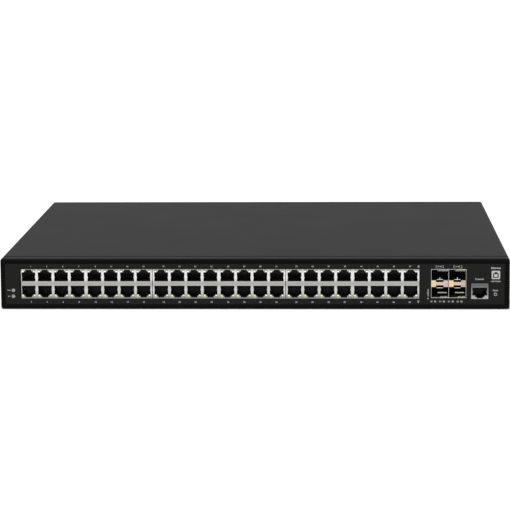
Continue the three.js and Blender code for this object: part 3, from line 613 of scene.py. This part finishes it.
def top_cover():
    bm = bmesh.new()
    outline = arch(0, 2.5) + arch(SHEET, 2.5 - SHEET)[::-1]
    add_prism(bm, "y", COVER_FRONT + COVER_GAP, REAR, outline)
    cover = mesh_object("cover", bm)
    tool = bmesh.new()
    for first in SLOT_STARTS:
        for y in range(first, first + 72, 8):
            slot = rounded(y, y + 3.4, 12, 34, 1.7, 6)
            add_prism(tool, "x", LEFT - 1, RIGHT + 1, slot)
    for y, z in EAR_HOLES:
        add_prism(tool, "x", LEFT - 1, RIGHT + 1, circle(y, z, 2.4, 24))
    seat = [(0, -1), (3.2, -1), (3.2, 0.15), (1.9, 1.3), (1.9, 2), (0, 2)]
    for y in COVER_SCREW_YS:
        for side, facing in ((RIGHT, "left"), (LEFT, "right")):
            add_turned(tool, seat, moved(side, y, COVER_SCREW_Z) @ FACING[facing], 24)
    cut(cover, tool)
    make("cover", cover, PAINT, replaces=["top_cover"])


def cross(radius, width):
    """The outline of a cross recess."""
    w = width / 2
    quarter = [(radius, -w), (radius, w), (w, w)]
    points = []
    for k in range(4):
        c, s = cos(k * pi / 2), sin(k * pi / 2)
        points += [(u * c - v * s, u * s + v * c) for u, v in quarter]
    return points


def place_all(bm, start, matrix):
    """Moves everything added to bm since it had start vertices."""
    bm.verts.ensure_lookup_table()
    bmesh.ops.transform(bm, matrix=matrix, verts=bm.verts[start:])


def add_flat_screw(bm, matrix, head=2.8, recess=1.5):
    """A countersunk screw: its recessed face at height 0, and its shank below."""
    start = len(bm.verts)
    add_pocketed(bm, "z", 0, -0.7, -0.9, circle(0, 0, head), [cross(recess, 0.6)])
    add_turned(bm, [(0, -0.9), (head * 0.9, -0.9), (1.5, -1.9), (1.5, -6), (0, -6)])
    place_all(bm, start, matrix)


def add_pan_screw(bm, matrix, head=2.9, height=1.9, shank=6):
    """A domed screw: the underside of its head at height 0, and its shank below."""
    start = len(bm.verts)
    dome = [(1.5, -shank), (1.5, 0), (head, 0), (head, height * 0.35),
            (head * 0.94, height * 0.62), (head * 0.8, height * 0.84), (head * 0.62, height)]
    rings = [add_loop(bm, "z", circle(0, 0, radius), level) for radius, level in dome]
    add_skin(bm, rings, closed=(0,))
    levels = (height, height - min(1, height * 0.6))
    rim, floor = [add_loop(bm, "z", cross(head * 0.5, 0.7), level) for level in levels]
    add_cap(bm, rings[-1], rim)
    add_walls(bm, rim, floor)
    add_cap(bm, floor)
    place_all(bm, start, matrix)


def cover_screws():
    for side, x, inwards in (("left", LEFT, 0.02), ("right", RIGHT, -0.02)):
        for i, y in enumerate(COVER_SCREW_YS):
            bm = bmesh.new()
            add_flat_screw(bm, moved(x + inwards, y, COVER_SCREW_Z) @ FACING[side])
            make(
                f"side_screw_{side}_{i + 1}", bm, SCREW_BLACK, bevel=0.12,
                replaces=[f"cover_screw_{side}_{i + 1}"],
            )


def grille_outlines(x, z):
    """The arcs of a finger guard pressed into the rear panel."""
    outlines = []
    for inner, outer in ((5.4, 8), (10, 12.6), (14.6, 17.4)):
        for quarter in range(4):
            middle = (quarter + 0.5) * pi / 2
            points = []
            for radius, order in ((outer, 1), (inner, -1)):
                half = pi / 4 - 1.2 / radius
                for k in range(13):
                    angle = middle + order * half * (k / 6 - 1)
                    points.append((x + radius * cos(angle), z + radius * sin(angle)))
            outlines.append(points)
    return outlines


def rear_panel():
    bm = bmesh.new()
    holes = [rectangle(INLET_X - 14, INLET_X + 14, INLET_Z - 10.3, INLET_Z + 10.3),
             circle(GROUND_X, GROUND_Z, 2.3, 24)]
    for x in FAN_XS:
        holes += grille_outlines(x, FAN_Z)
        holes += [circle(x + u, FAN_Z + v, 1.9, 24) for u, v in FAN_HOLES]
    for x in range(-104, -40, 9):
        holes.append(rounded(x, x + 4.5, 12, 34, 2.25, 6))
    add_prism(bm, "y", REAR - 1.2, REAR, rounded(-218.7, 218.7, 1.3, 42.7, 1), holes)
    foot = ribbon([(REAR - 9.2, 1.8), (REAR - 2.2, 1.8), (REAR - 1.25, 2.0)], 1)
    add_prism(bm, "x", -216.7, 216.7, foot)
    make("rear_plate", bm, PAINT, replaces=["rear_panel"], bevel=0.15)


def ground_screw():
    bm = bmesh.new()
    at = moved(GROUND_X, REAR + 0.75, GROUND_Z) @ FACING["rear"]
    add_turned(bm, [(2.2, -0.7), (4, -0.7), (4, -0.25), (3.4, -0.02), (2.2, -0.02)], at,
               closed=True)
    add_pan_screw(bm, at, head=3.1, height=1.4, shank=8)
    make("earth_screw", bm, SCREW_NICKEL, replaces=["ground_screw"])


def label_film():
    bm = bmesh.new()
    outline = rounded(-215.8, 215.5, 3.9, 39.4, 0.8)
    add_prism(bm, "y", FILM_FRONT, FILM_BACK, outline, front_holes(0.2))
    make("label_film", bm, FILM, replaces=["front_film"], bevel=0.05)


front_panel()
top_cover()
cover_screws()
rear_panel()
ground_screw()
label_film()


# ---------- copper ports


def band_edge(row):
    """Where a row of ports starts: 1 is the row above the band, and -1 the one below it."""
    return BAND[1] if row > 0 else BAND[0]


def mouth(x, z, row, steps, bulge=()):
    """A socket's stepped mouth, from its wide edge at z up (row 1) or down (row -1). Each step
    is a half width and a height, and bulge is the outline of the side springs: how far each
    point reaches into the mouth, and its place from the wide edge."""
    half, height = steps[0]
    side = [(half, 0), *((half - reach, v) for reach, v in bulge), (half, height)]
    for half, rise in steps[1:]:
        side.append((half, height))
        height += rise
        side.append((half, height))
    points = [(x + u, z + row * v) for u, v in side]
    points += [(x - u, z + row * v) for u, v in reversed(side)]
    return soften(points, 0.22, 2)


# (half width, height) of each step of a port's mouth and cavity, from the band outwards
MOUTH_STEPS = [(6, 7.9), (3.9, 0.95), (2.75, 1.45)]
CAVITY_STEPS = [(6, 7.9), (3.95, 2.3)]
PORT_BULGE = [(0, 2.1), (0.21, 2.6), (0.3, 3.3), (0.21, 4.0), (0, 4.5)]
CONTACT_FRONT = [(-168.6, 0.1), (-169.6, 0.5), (-169.3, 1.1)]  # (y, distance from the wide edge)
# A lamp's window and the folded edge on a mouth's step: half the width and height, the middle's
# distance from the port's middle and from the band, and the corner radius
LAMP = {"half": 1.25, "tall": 0.75, "out": 4.8, "up": 9.8, "corner": 0.25}
STEP_PAD = {"half": 0.8, "tall": 0.4, "out": 5.0, "up": 8.4, "corner": 0.3}


def beside_port(x, row, side, size, shrink=0.0):
    """The outline of a small piece to the left (side -1) or right (side 1) of a port."""
    u, v = x + side * size["out"], band_edge(row) + row * size["up"]
    w, h = size["half"] - shrink, size["tall"] - shrink
    return rounded(u - w, u + w, v - h, v + h, size["corner"], 2)


def socket_body(name, node, cavities):
    bm = bmesh.new()
    low, high = corners(node)
    body = rectangle(low.x, high.x, low.z, high.z)
    add_pocketed(bm, "y", low.y, PROUD + 14, high.y, body, cavities)
    make(name, bm, SOCKET_BLACK, replaces=[node])


def add_contacts(bm, x, z, row, ends):
    """A socket's eight spring contacts, curving in from its wide edge."""
    for k in range(8):
        at = x + (k - 3.5) * 1.02
        path = [(at, y, z + row * h) for y, h in curve_through(CONTACT_FRONT + ends, 3)]
        add_tube(bm, path, 0.17, 6)


def shield_walls(bm, left, right, top, depth, sheet=0.4):
    """The sides, back and top of a plated shield, behind its front sheet."""
    y0, y1 = PROUD + sheet, PROUD + depth
    plan = [
        (left, y0), (left + sheet, y0), (left + sheet, y1 - sheet), (right - sheet, y1 - sheet),
        (right - sheet, y0), (right, y0), (right, y1), (left, y1),
    ]
    add_prism(bm, "z", BOARD_TOP, top - sheet, plan)
    add_box(bm, left, right, y0, y1, top - sheet, top)


def side_springs(bm, x, row, half):
    """The leaf springs that ground a plug, curving in from both sides of a mouth."""
    z = band_edge(row) + row * 3.3
    for side in (-1, 1):
        path = [(half + 0.12, PROUD + 0.3), (half - 0.3, PROUD + 1), (half - 0.55, PROUD + 2),
                (half - 0.5, PROUD + 3), (half - 0.15, PROUD + 5)]
        leaf = ribbon([(x + side * u, y) for u, y in curve_through(path, 3)], 0.14)
        add_prism(bm, "z", z - 1.1, z + 1.1, leaf)


def port_block(number, middle):
    ports = [(middle + x, row) for x in PORT_XS for row in (1, -1)]
    places = [(x, row, side) for x, row in ports for side in (-1, 1)]
    # The first block's left rib is a narrow one
    left, right = middle - BLOCK_HALF + (1.1 if number == 1 else 0), middle + BLOCK_HALF

    bm = bmesh.new()
    holes = [mouth(x, band_edge(row), row, MOUTH_STEPS, PORT_BULGE) for x, row in ports]
    holes += [beside_port(*place, LAMP) for place in places]
    groove = sum(BAND) / 2
    holes += [
        rounded(middle + x - 5.4, middle + x + 5.4, groove - 0.3, groove + 0.3, 0.25, 2)
        for x in PORT_XS
    ]
    face = rectangle(left, right, SHEET_BOTTOM, SHIELD_TOP)
    add_prism(bm, "y", PROUD + 0.08, PROUD + 0.4, face, holes)
    for x in PORT_XS:
        add_box(bm, middle + x - 5.7, middle + x + 5.7, PROUD + 0.41, PROUD + 0.5,
                groove - 0.6, groove + 0.6)
    shield_walls(bm, left, right, SHIELD_TOP, 33)
    for x, row in ports:
        side_springs(bm, x, row, MOUTH_STEPS[0][0])
    make(f"port_shield_{number}", bm, NICKEL,
         replaces=[f"port_block_shield_{number}"], bevel=0.07)

    cavities = [mouth(x, band_edge(row), row, CAVITY_STEPS) for x, row in ports]
    socket_body(f"port_body_{number}", f"port_block_housing_{number}", cavities)

    bm = bmesh.new()
    for x, row in ports:
        add_contacts(bm, x, band_edge(row), row, [(-166, 2.7), (-161.5, 4.1)])
    make(f"port_contacts_{number}", bm, GOLD)

    bm = bmesh.new()
    for place in places:
        add_prism(bm, "y", PROUD, PROUD + 0.3, beside_port(*place, STEP_PAD))
    make(f"port_step_pads_{number}", bm, PAD, bevel=0.1)

    # The lamps that are lit: left of each lower port, and of the very first upper one
    first = ports[0] if number == 1 else None
    lit = {(*port, -1) for port in ports if port[1] < 0 or port == first}
    for name, lens, chosen in (("clear", LENS_CLEAR, False), ("green", LENS_GREEN, True)):
        bm = bmesh.new()
        for place in places:
            if (place in lit) == chosen:
                window = beside_port(*place, LAMP, 0.12)
                add_prism(bm, "y", PROUD + 0.04, PROUD + 0.48, window)
        make(f"port_lamps_{name}_{number}", bm, lens, bevel=0.12)


for i, x in enumerate(BLOCK_XS, 1):
    port_block(i, x)


# ---------- console port


def console_port():
    left, right = CONSOLE_X
    middle = (left + right) / 2

    bm = bmesh.new()
    face = rectangle(left, right, BOARD_TOP + 0.1, CONSOLE_TOP)
    bulge = [(0, 2.6), (0.5, 3.3), (0.5, 4.3), (0, 5)]
    opening = mouth(middle, CONSOLE_MOUTH_TOP, -1, [(6.45, 6.8), (4.1, 1.4), (2.6, 1.2)], bulge)
    add_prism(bm, "y", PROUD, PROUD + 0.4, face, [opening])
    shield_walls(bm, left, right, CONSOLE_TOP, 21)
    make("console_socket_shield", bm, CONSOLE_STEEL, replaces=["console_shield"],
         bevel=0.08)

    cavity = mouth(middle, CONSOLE_MOUTH_TOP, -1, [(6, 6.8), (3.95, 2.4)])
    socket_body("console_socket_body", "console_housing", [cavity])

    bm = bmesh.new()
    add_contacts(bm, middle, CONSOLE_MOUTH_TOP, -1, [(-166, 2.5), (-161.5, 3.6)])
    make("console_contacts", bm, GOLD)


console_port()


# ---------- module cage


def bent(z, points):
    """The path of a bent sheet, from points given as places behind the front and above z."""
    return curve_through([(PROUD + y, z + rise) for y, rise in points], 4)


def strips(bm, first, count, pitch, width, outline):
    """Spring fingers side by side, all with the same bent outline in Y and Z."""
    for k in range(count):
        add_prism(bm, "x", first + pitch * k, first + pitch * k + width, outline)


def module_cage():
    left, right = CAGE_X[0] + 0.3, CAGE_X[1]
    wall, divider = 0.33, 0.4
    bottom, top = 10.1, 34.55
    middle = (left + right) / 2
    columns = [(left + wall, middle - divider / 2), (middle + divider / 2, right - wall)]

    bm = bmesh.new()
    channels = [rounded(a, b, bottom, top, 0.3, 2) for a, b in columns]
    outline = rectangle(left, right, bottom - 0.45, CAGE_TOP)
    add_pocketed(bm, "y", PROUD, PROUD + 47.3, PROUD + 48, outline, channels)
    make("cage_shell", bm, STEEL, replaces=["module_cage"], bevel=0.08)

    for side, (a, b), finger in (
        ("left", columns[0], FINGER_GREY), ("right", columns[1], FINGER_OLIVE),
    ):
        centre_x = (a + b) / 2
        hanging = bent(top, [(0.25, -0.05), (0.5, -0.9), (0.9, -1.5), (3.5, -1.2), (8, -0.15)])
        ramp = bent(bottom, [(2.2, 3.3), (2.35, 4), (3.2, 4.35), (7, 2.7), (11, 0.15)])
        bm = bmesh.new()
        strips(bm, centre_x - 1.2, 3, 2.75, 2.5, ribbon(hanging, 0.2))
        add_prism(bm, "x", centre_x - 2.1, centre_x - 1.6, ribbon(hanging, 0.2))
        add_prism(bm, "x", centre_x - 1.9, centre_x + 6, ribbon(ramp, 0.25))
        make(f"cage_springs_{side}", bm, finger, bevel=0.05)

        bm = bmesh.new()
        floor = bent(bottom, [(0.25, 0.15), (1.2, 0.95), (3, 1.1), (7, 0.15)])
        strips(bm, centre_x + 0.2, 2, 3.3, 3.0, ribbon(floor, 0.2))
        # The springs on the cage's floor take the darker copy of the spring steel: painted shade
        make(f"cage_floor_springs_{side}", bm, SPRING_SHADED, bevel=0.05)

        bm = bmesh.new()
        for z in (25.8, 18.55):
            tongue = [(centre_x - 2.8, PROUD + 0.2), (centre_x + 2.8, PROUD + 0.2),
                      (centre_x + 2.3, PROUD + 9), (centre_x - 2.3, PROUD + 9)]
            add_prism(bm, "z", z - 0.25, z + 0.25, soften(tongue, 0.6, 3))
        # The catch that stands on the upper tongue
        add_box(bm, centre_x - 0.35, centre_x + 0.35, PROUD + 1.2, PROUD + 1.8, 25.9, 27.3)
        make(f"cage_latches_{side}", bm, SPRING_STEEL, bevel=0.06)


module_cage()


def banded(name, stops):
    """Plated metal whose tint changes in bands along X: a list of (x, colour)."""
    material = surface(name, (0.8, 0.8, 0.8), rough=0.35, metal=0.7, shade=(0.05, 4),
                       grain=(0.1, 0.4))
    tree = material.node_tree
    tint = colour_along("X", stops, material, "CONSTANT")
    tree.links.new(tint, tree.nodes["Principled BSDF"].inputs["Base Color"])
    return material


def module_spacers():
    cream, copper, lilac = (0.68, 0.58, 0.34), (0.68, 0.5, 0.38), (0.54, 0.46, 0.4)
    peach, rose, pale = (0.82, 0.56, 0.34), (0.66, 0.51, 0.4), (0.5, 0.4, 0.32)
    for side, colours in (("left", (cream, copper, lilac)), ("right", (peach, rose, pale))):
        low, high = corners(f"module_spacer_{side}")
        # The notches above and below leave room for the latch tongues
        middle, notch = (low.x + high.x) / 2, 1.5
        start, end = middle - 3.2, middle + 3.2
        outline = soften([
            (low.x, low.z), (start, low.z), (start, low.z + notch), (end, low.z + notch),
            (end, low.z), (high.x, low.z), (high.x, high.z), (end, high.z),
            (end, high.z - notch), (start, high.z - notch), (start, high.z), (low.x, high.z),
        ], 0.25, 2)
        groove = rounded(start + 0.3, end - 0.3, 21.6, 22.3, 0.3, 2)
        front = low.y + 0.9
        bm = bmesh.new()
        add_pocketed(bm, "y", low.y, low.y + 0.4, front, outline, [groove])
        finish = banded(f"spacer_bands_{side}", [
            (low.x, colours[0]), (start, colours[1]), (end, colours[2]), (high.x, colours[2]),
        ])
        make(f"spacer_{side}", bm, finish, replaces=[f"module_spacer_{side}"],
             bevel=0.12)
        # Painted shade: behind its front face the spacer takes the black plastic finish, for the
        # shade on its top
        bm = bmesh.new()
        add_prism(bm, "y", front + 0.02, high.y, outline)
        make(f"spacer_painted_shade_{side}", bm, FAN_BLACK)


module_spacers()


# ---------- lamps, reset and printing


def lamp_pieces():
    for name, node, places, radius in (
        ("status_lamps", "status_light_guide", [(STATUS_X, z) for z in STATUS_ZS], 1.7),
        ("module_lamps", "module_light_guide", [(x, LAMP_Z) for x in LAMP_XS], 1.0),
    ):
        low, high = corners(node)
        back = FRONT + SHEET + (1.2 if radius > 1 else 0.6)
        bm = bmesh.new()
        for x, z in places:
            dome = [(radius * cos(a), 0.25 * radius * sin(a) - 0.25 * radius)
                    for a in (radians(15 * k) for k in range(6))]
            reach = back - FILM_FRONT
            profile = [(0, -reach), (radius, -reach), *dome, (0, 0)]
            add_turned(bm, profile, moved(x, FILM_FRONT, z) @ FACING["front"])
        add_box(bm, low.x, high.x, back, high.y, low.z, high.z)
        make(name, bm, GUIDE, replaces=[node], bevel=0.08)


def reset_pin():
    low, high = corners("reset_button")
    radius, length = (high.x - low.x) / 2, high.y - low.y
    profile = [(0, 0), (radius, 0), (radius, length - 0.4), (radius - 0.12, length - 0.12),
               (radius - 0.4, length), (0, length)]
    bm = bmesh.new()
    add_turned(bm, profile, moved(RESET_X, high.y, RESET_Z) @ FACING["front"])
    make("reset_pin", bm, GUIDE, body="reset_button", replaces=["reset_button"])


lamp_pieces()
reset_pin()

INK_THICKNESS = 0.03
WELD = 0.00005  # joins the letters' faces, which are made apart


def add_text(bm, text, x, z, size, upright=False, weight=0.02):
    """Raised printing on the front, centred on a point."""
    curve = bpy.data.curves.new("text", "FONT")
    curve.body = text
    curve.size = size
    curve.align_x = "CENTER"
    curve.align_y = "CENTER"
    curve.extrude = INK_THICKNESS / 2
    curve.offset = weight * size
    holder = bpy.data.objects.new("text", curve)
    scene.collection.objects.link(holder)
    depsgraph = bpy.context.evaluated_depsgraph_get()
    mesh = bpy.data.meshes.new_from_object(holder.evaluated_get(depsgraph))
    turn = Matrix.Rotation(pi / 2, 4, "Z") if upright else Matrix()
    place = moved(x, FILM_FRONT - INK_THICKNESS / 2, z) @ FACING["front"] @ turn
    mesh.transform(place)
    letters = bmesh.new()
    letters.from_mesh(mesh)
    bmesh.ops.remove_doubles(letters, verts=letters.verts, dist=WELD)
    letters.to_mesh(mesh)
    letters.free()
    bm.from_mesh(mesh)
    bpy.data.meshes.remove(mesh)
    bpy.data.objects.remove(holder)
    bpy.data.curves.remove(curve)


def add_mark(bm, outline, holes=()):
    add_prism(bm, "y", FILM_FRONT - INK_THICKNESS, FILM_FRONT, outline, holes)


def printing():
    bm = bmesh.new()
    for block, middle in enumerate((-144.6, -29.6, 85.3)):
        for i, x in enumerate(PORT_XS):
            number = 2 * (8 * block + i) + 1
            at = middle + x * 0.978
            add_text(bm, str(number), at + 0.2, 37.15, 1.9)
            add_text(bm, str(number + 1), at, 5.95, 1.9)
    bracket = [(0, 36.1), (1, 36.1), (1, 36.35), (0.3, 36.35), (0.3, 37.75), (1, 37.75),
               (1, 38), (0, 38)]
    for i, (x0, x1) in enumerate(((156.4, 163.0), (171.6, 178.9))):
        for x, inwards in ((x0, 1), (x1, -1)):
            add_mark(bm, [(x + inwards * u, z) for u, z in bracket])
        add_text(bm, ("49-50", "51-52")[i], (x0 + x1) / 2, 37.05, 1.6, weight=0.03)
    for x, number in zip(LAMP_XS, (49, 50, 51, 52)):
        add_text(bm, str(number), x - 3.3, 6.5, 1.9)
    # A small arrow on a bar at the end of each row of port numbers
    left, right = 140.8, 142.4
    for z, up, bar in ((37.3, 1, 36.4), (6.3, -1, 6.8)):
        add_mark(bm, [(left, z - 0.2 * up), (right, z - 0.2 * up), (141.6, z + 1.1 * up)])
        add_mark(bm, rectangle(left, right, bar, bar + 0.4))
    add_text(bm, "Link/Act", 149.85, 14.3, 1.9, upright=True)
    add_mark(bm, circle(149.9, 9.1, 0.55, 20))
    add_text(bm, "Console", 193.9, 26.1, 2.2)
    add_text(bm, "Reset", RESET_X, 16.3, 2.0)
    add_text(bm, "PWR", -212.7, 16.2, 1.3)
    add_text(bm, "SYS", -212.7, 10.9, 1.3)
    add_mark(bm, circle(RESET_X, RESET_Z, 1.4), [circle(RESET_X, RESET_Z, 0.98)])
    make("front_print", bm, INK)


def pictogram():
    """A plain network sign: a socket with a plug centred in it, between two words."""
    middle, low, side = 207.9, 26.2, 7.2
    bm = bmesh.new()
    add_text(bm, "Ethernet", middle, 35.75, 2.35)
    socket = [(-2.4, 1.1), (2.4, 1.1), (2.4, 5.0), (1.2, 5.0), (1.2, 6.1), (-1.2, 6.1),
              (-1.2, 5.0), (-2.4, 5.0)]
    add_mark(bm, rounded(middle - side / 2, middle + side / 2, low, low + side, 0.8),
             [[(middle + u, low + v) for u, v in socket]])
    add_mark(bm, rounded(middle - 1.5, middle + 1.5, low + 1.9, low + 4.2, 0.2))
    add_text(bm, "NETWORK", middle, 24.1, 1.6)
    make("network_pictogram", bm, INK_WHITE)


printing()
pictogram()


# ---------- rear: mains inlet and fans


def mains_inlet():
    x, z, mouth_y = INLET_X, INLET_Z, REAR + 1.8
    chamfer = 3.5
    cavity = [(-12.2, -8.1), (12.2, -8.1), (12.2, 8.1 - chamfer), (12.2 - chamfer, 8.1),
              (-12.2 + chamfer, 8.1), (-12.2, 8.1 - chamfer)]
    cavity = soften([(x + u, z + v) for u, v in cavity], 0.8)
    bm = bmesh.new()
    flange = rounded(x - 15.35, x + 15.35, z - 11.3, z + 11.3, 2)
    add_prism(bm, "y", REAR + 0.05, mouth_y, flange, [cavity])
    body = rectangle(x - 13.6, x + 13.6, z - 9.9, z + 9.9)
    add_pocketed(bm, "y", REAR + 0.05, mouth_y - 17, 150, body, [cavity])
    make("inlet_body", bm, SOCKET_BLACK, replaces=["mains_inlet"], bevel=0.3)

    bm = bmesh.new()
    pin = [(-1, -17.5), (-1, -5.3), (-0.4, -4.5), (0.4, -4.5), (1, -5.3), (1, -17.5)]
    tab = [(-2.4, 150.5), (2.4, 150.5), (2.4, 144), (1.4, 143), (-1.4, 143), (-2.4, 144)]
    for u, v in ((x - 7, z - 2), (x + 7, z - 2), (x, z + 3)):
        add_prism(bm, "z", v - 2, v + 2, [(u + w, mouth_y + y) for w, y in pin])
        add_prism(bm, "x", u - 0.4, u + 0.4, [(y, v + w) for w, y in tab],
                  [circle(146, v, 0.8, 16)])
    make("inlet_pins", bm, SCREW_NICKEL, bevel=0.15)


def fan_frame(number, x):
    at = moved(x, FAN_BACK, FAN_Z)
    half, length, flange = 20, 20, 3.4
    bore = 18.8
    plate = rounded(-half, half, -half, half, 3, 6)
    holes = [circle(0, 0, bore, 64), *(circle(u, v, 2.1, 20) for u, v in FAN_HOLES)]
    bm = bmesh.new()
    for y0, y1 in ((-length, -length + flange), (-flange, 0)):
        add_prism(bm, "y", y0, y1, plate, holes)
    add_prism(bm, "y", -length + flange, -flange, circle(0, 0, 19.9, 64), holes[:1])
    # The plate behind the motor, the motor's core round the shaft's hole, and the struts
    add_prism(bm, "y", -2.8, -0.3, circle(0, 0, 11.5, 48))
    add_prism(bm, "y", -13, -2.8, circle(0, 0, 8.5, 32), [circle(0, 0, 2.1, 20)])
    for angle in (90, 210, 330):
        start = len(bm.verts)
        add_prism(bm, "y", -2.8, -0.2, rounded(11, bore + 0.6, -1.3, 1.3, 0.4, 3))
        place_all(bm, start, Matrix.Rotation(radians(angle), 4, "Y"))
    place_all(bm, 0, at)
    make(f"fan_housing_{number}", bm, FAN_BLACK,
         replaces=[f"fan_frame_{number}"], bevel=0.2)

    bm = bmesh.new()
    add_prism(bm, "y", -0.3, -0.22, circle(0, 0, 10.4, 48), [circle(0, 0, 2.6, 24)])
    place_all(bm, 0, at)
    make(f"fan_label_{number}", bm, LABEL_GREY)


def fan_rotor(number, x):
    at = moved(x, FAN_BACK, FAN_Z)
    front, depth = -19, 15.5
    bm = bmesh.new()
    hub = [(0, 0), (9.8, 0), (10.9, 0.35), (11.4, 1.1), (11.5, 2), (11.5, depth), (10, depth),
           (10, 1.2), (1.5, 1.2), (1.5, 13), (0, 13)]
    add_turned(bm, hub, moved(0, front, 0) @ FACING["rear"], 48)

    stations, chords, blades = 7, 10, 7
    root, tip = 11.2, 18.2  # radii
    intake, reach = -18.3, 13.4  # where a blade starts along the shaft, and how far it goes
    for blade in range(blades):
        turn = 2 * pi * blade / blades
        grid = ([], [])
        for s in range(stations):
            share = s / (stations - 1)
            radius = root + (tip - root) * share
            for c in range(chords):
                t = c / (chords - 1)
                # From the leading edge at the intake to the trailing edge, in a curved sweep
                around = (t - 0.5) * 13.4 + 2.0 * share
                along = intake + reach * (0.35 * t + 0.65 * t * t) * (1 - 0.12 * share)
                angle = turn + around / root * (1 - 0.25 * share)
                thickness = 0.95 * (1 - (2 * t - 1) ** 2) + 0.35
                for side, sheet in ((1, grid[0]), (-1, grid[1])):
                    level = along + side * thickness / 2
                    sheet.append(bm.verts.new((radius * cos(angle), level, radius * sin(angle))))
        for sheet in grid:
            for s in range(stations - 1):
                for c in range(chords - 1):
                    k = s * chords + c
                    bm.faces.new((sheet[k], sheet[k + 1], sheet[k + chords + 1], sheet[k + chords]))
        rim = [
            *range(chords),
            *(s * chords + chords - 1 for s in range(1, stations)),
            *((stations - 1) * chords + c for c in reversed(range(chords - 1))),
            *(s * chords for s in reversed(range(1, stations - 1))),
        ]
        add_walls(bm, [grid[0][k] for k in rim], [grid[1][k] for k in rim])
    place_all(bm, 0, at)
    make(f"fan_impeller_{number}", bm, IMPELLER, body=f"fan_rotor_{number}",
         replaces=[f"fan_rotor_{number}"], sharp=50)


def fan_screws(number, x):
    bm = bmesh.new()
    for u, v in FAN_HOLES:
        at = moved(x + u, REAR + 0.02, FAN_Z + v) @ FACING["rear"]
        add_pan_screw(bm, at, head=3, height=1.6, shank=8)
    make(f"fan_screws_{number}", bm, SCREW_BLACK)


mains_inlet()
for i, x in enumerate(FAN_XS, 1):
    fan_frame(i, x)
    fan_rotor(i, x)
    fan_screws(i, x)


def board_screws():
    bm = bmesh.new()
    places = [(x, y) for x in (-195, -85, 25, 135, 195) for y in (-130, -15)]
    places += [(x, y) for x in (-203, -113) for y in (22, 133)]
    for x, y in places:
        add_pan_screw(bm, moved(x, y, BOARD_TOP), head=2.8, height=1.7, shank=4)
    make("board_screws", bm, SCREW_NICKEL)


board_screws()


# ---------- floor, lights and camera


def studio():
    bm = bmesh.new()
    bmesh.ops.create_grid(bm, x_segments=1, y_segments=1, size=20000)
    floor = mesh_object("floor", bm)
    floor.location.z = -0.0005
    floor.data.materials.append(surface(
        "pale_floor", (0.86, 0.86, 0.86), rough=0.8, specular=0.2, shade=(0.005, 500),
    ))

    world = bpy.data.worlds.new("studio")
    world.use_nodes = True
    sky = world.node_tree.nodes["Background"]
    sky.inputs["Color"].default_value = (1, 1, 1, 1)
    sky.inputs["Strength"].default_value = 0.6
    scene.world = world

    key = bpy.data.lights.new("key", "SUN")
    key.energy = 2.8
    key.angle = radians(40)
    lamp = bpy.data.objects.new("key", key)
    lamp.rotation_euler = (radians(28), 0, radians(-18))
    scene.collection.objects.link(lamp)

    view = scene.view_settings
    view.view_transform, view.look, view.exposure, view.gamma = "Standard", "None", 0, 1


def camera():
    data = bpy.data.cameras.new("camera")
    data.sensor_width = 36
    data.lens = 147.96
    data.clip_end = 100
    seat = bpy.data.objects.new("camera", data)
    yaw, pitch, roll = radians(2.192), radians(9.497), radians(-0.382)
    ahead = Vector((-sin(yaw) * cos(pitch), cos(yaw) * cos(pitch), -sin(pitch)))
    right = Vector((cos(yaw), sin(yaw), 0))
    up = right.cross(ahead)
    columns = (
        cos(roll) * right + sin(roll) * up, -sin(roll) * right + cos(roll) * up, -ahead,
    )
    turn = Matrix(columns).transposed().to_4x4()
    seat.matrix_world = moved(0.0691, -1.9539, 0.345) @ turn
    scene.collection.objects.link(seat)
    scene.camera = seat


studio()
camera()
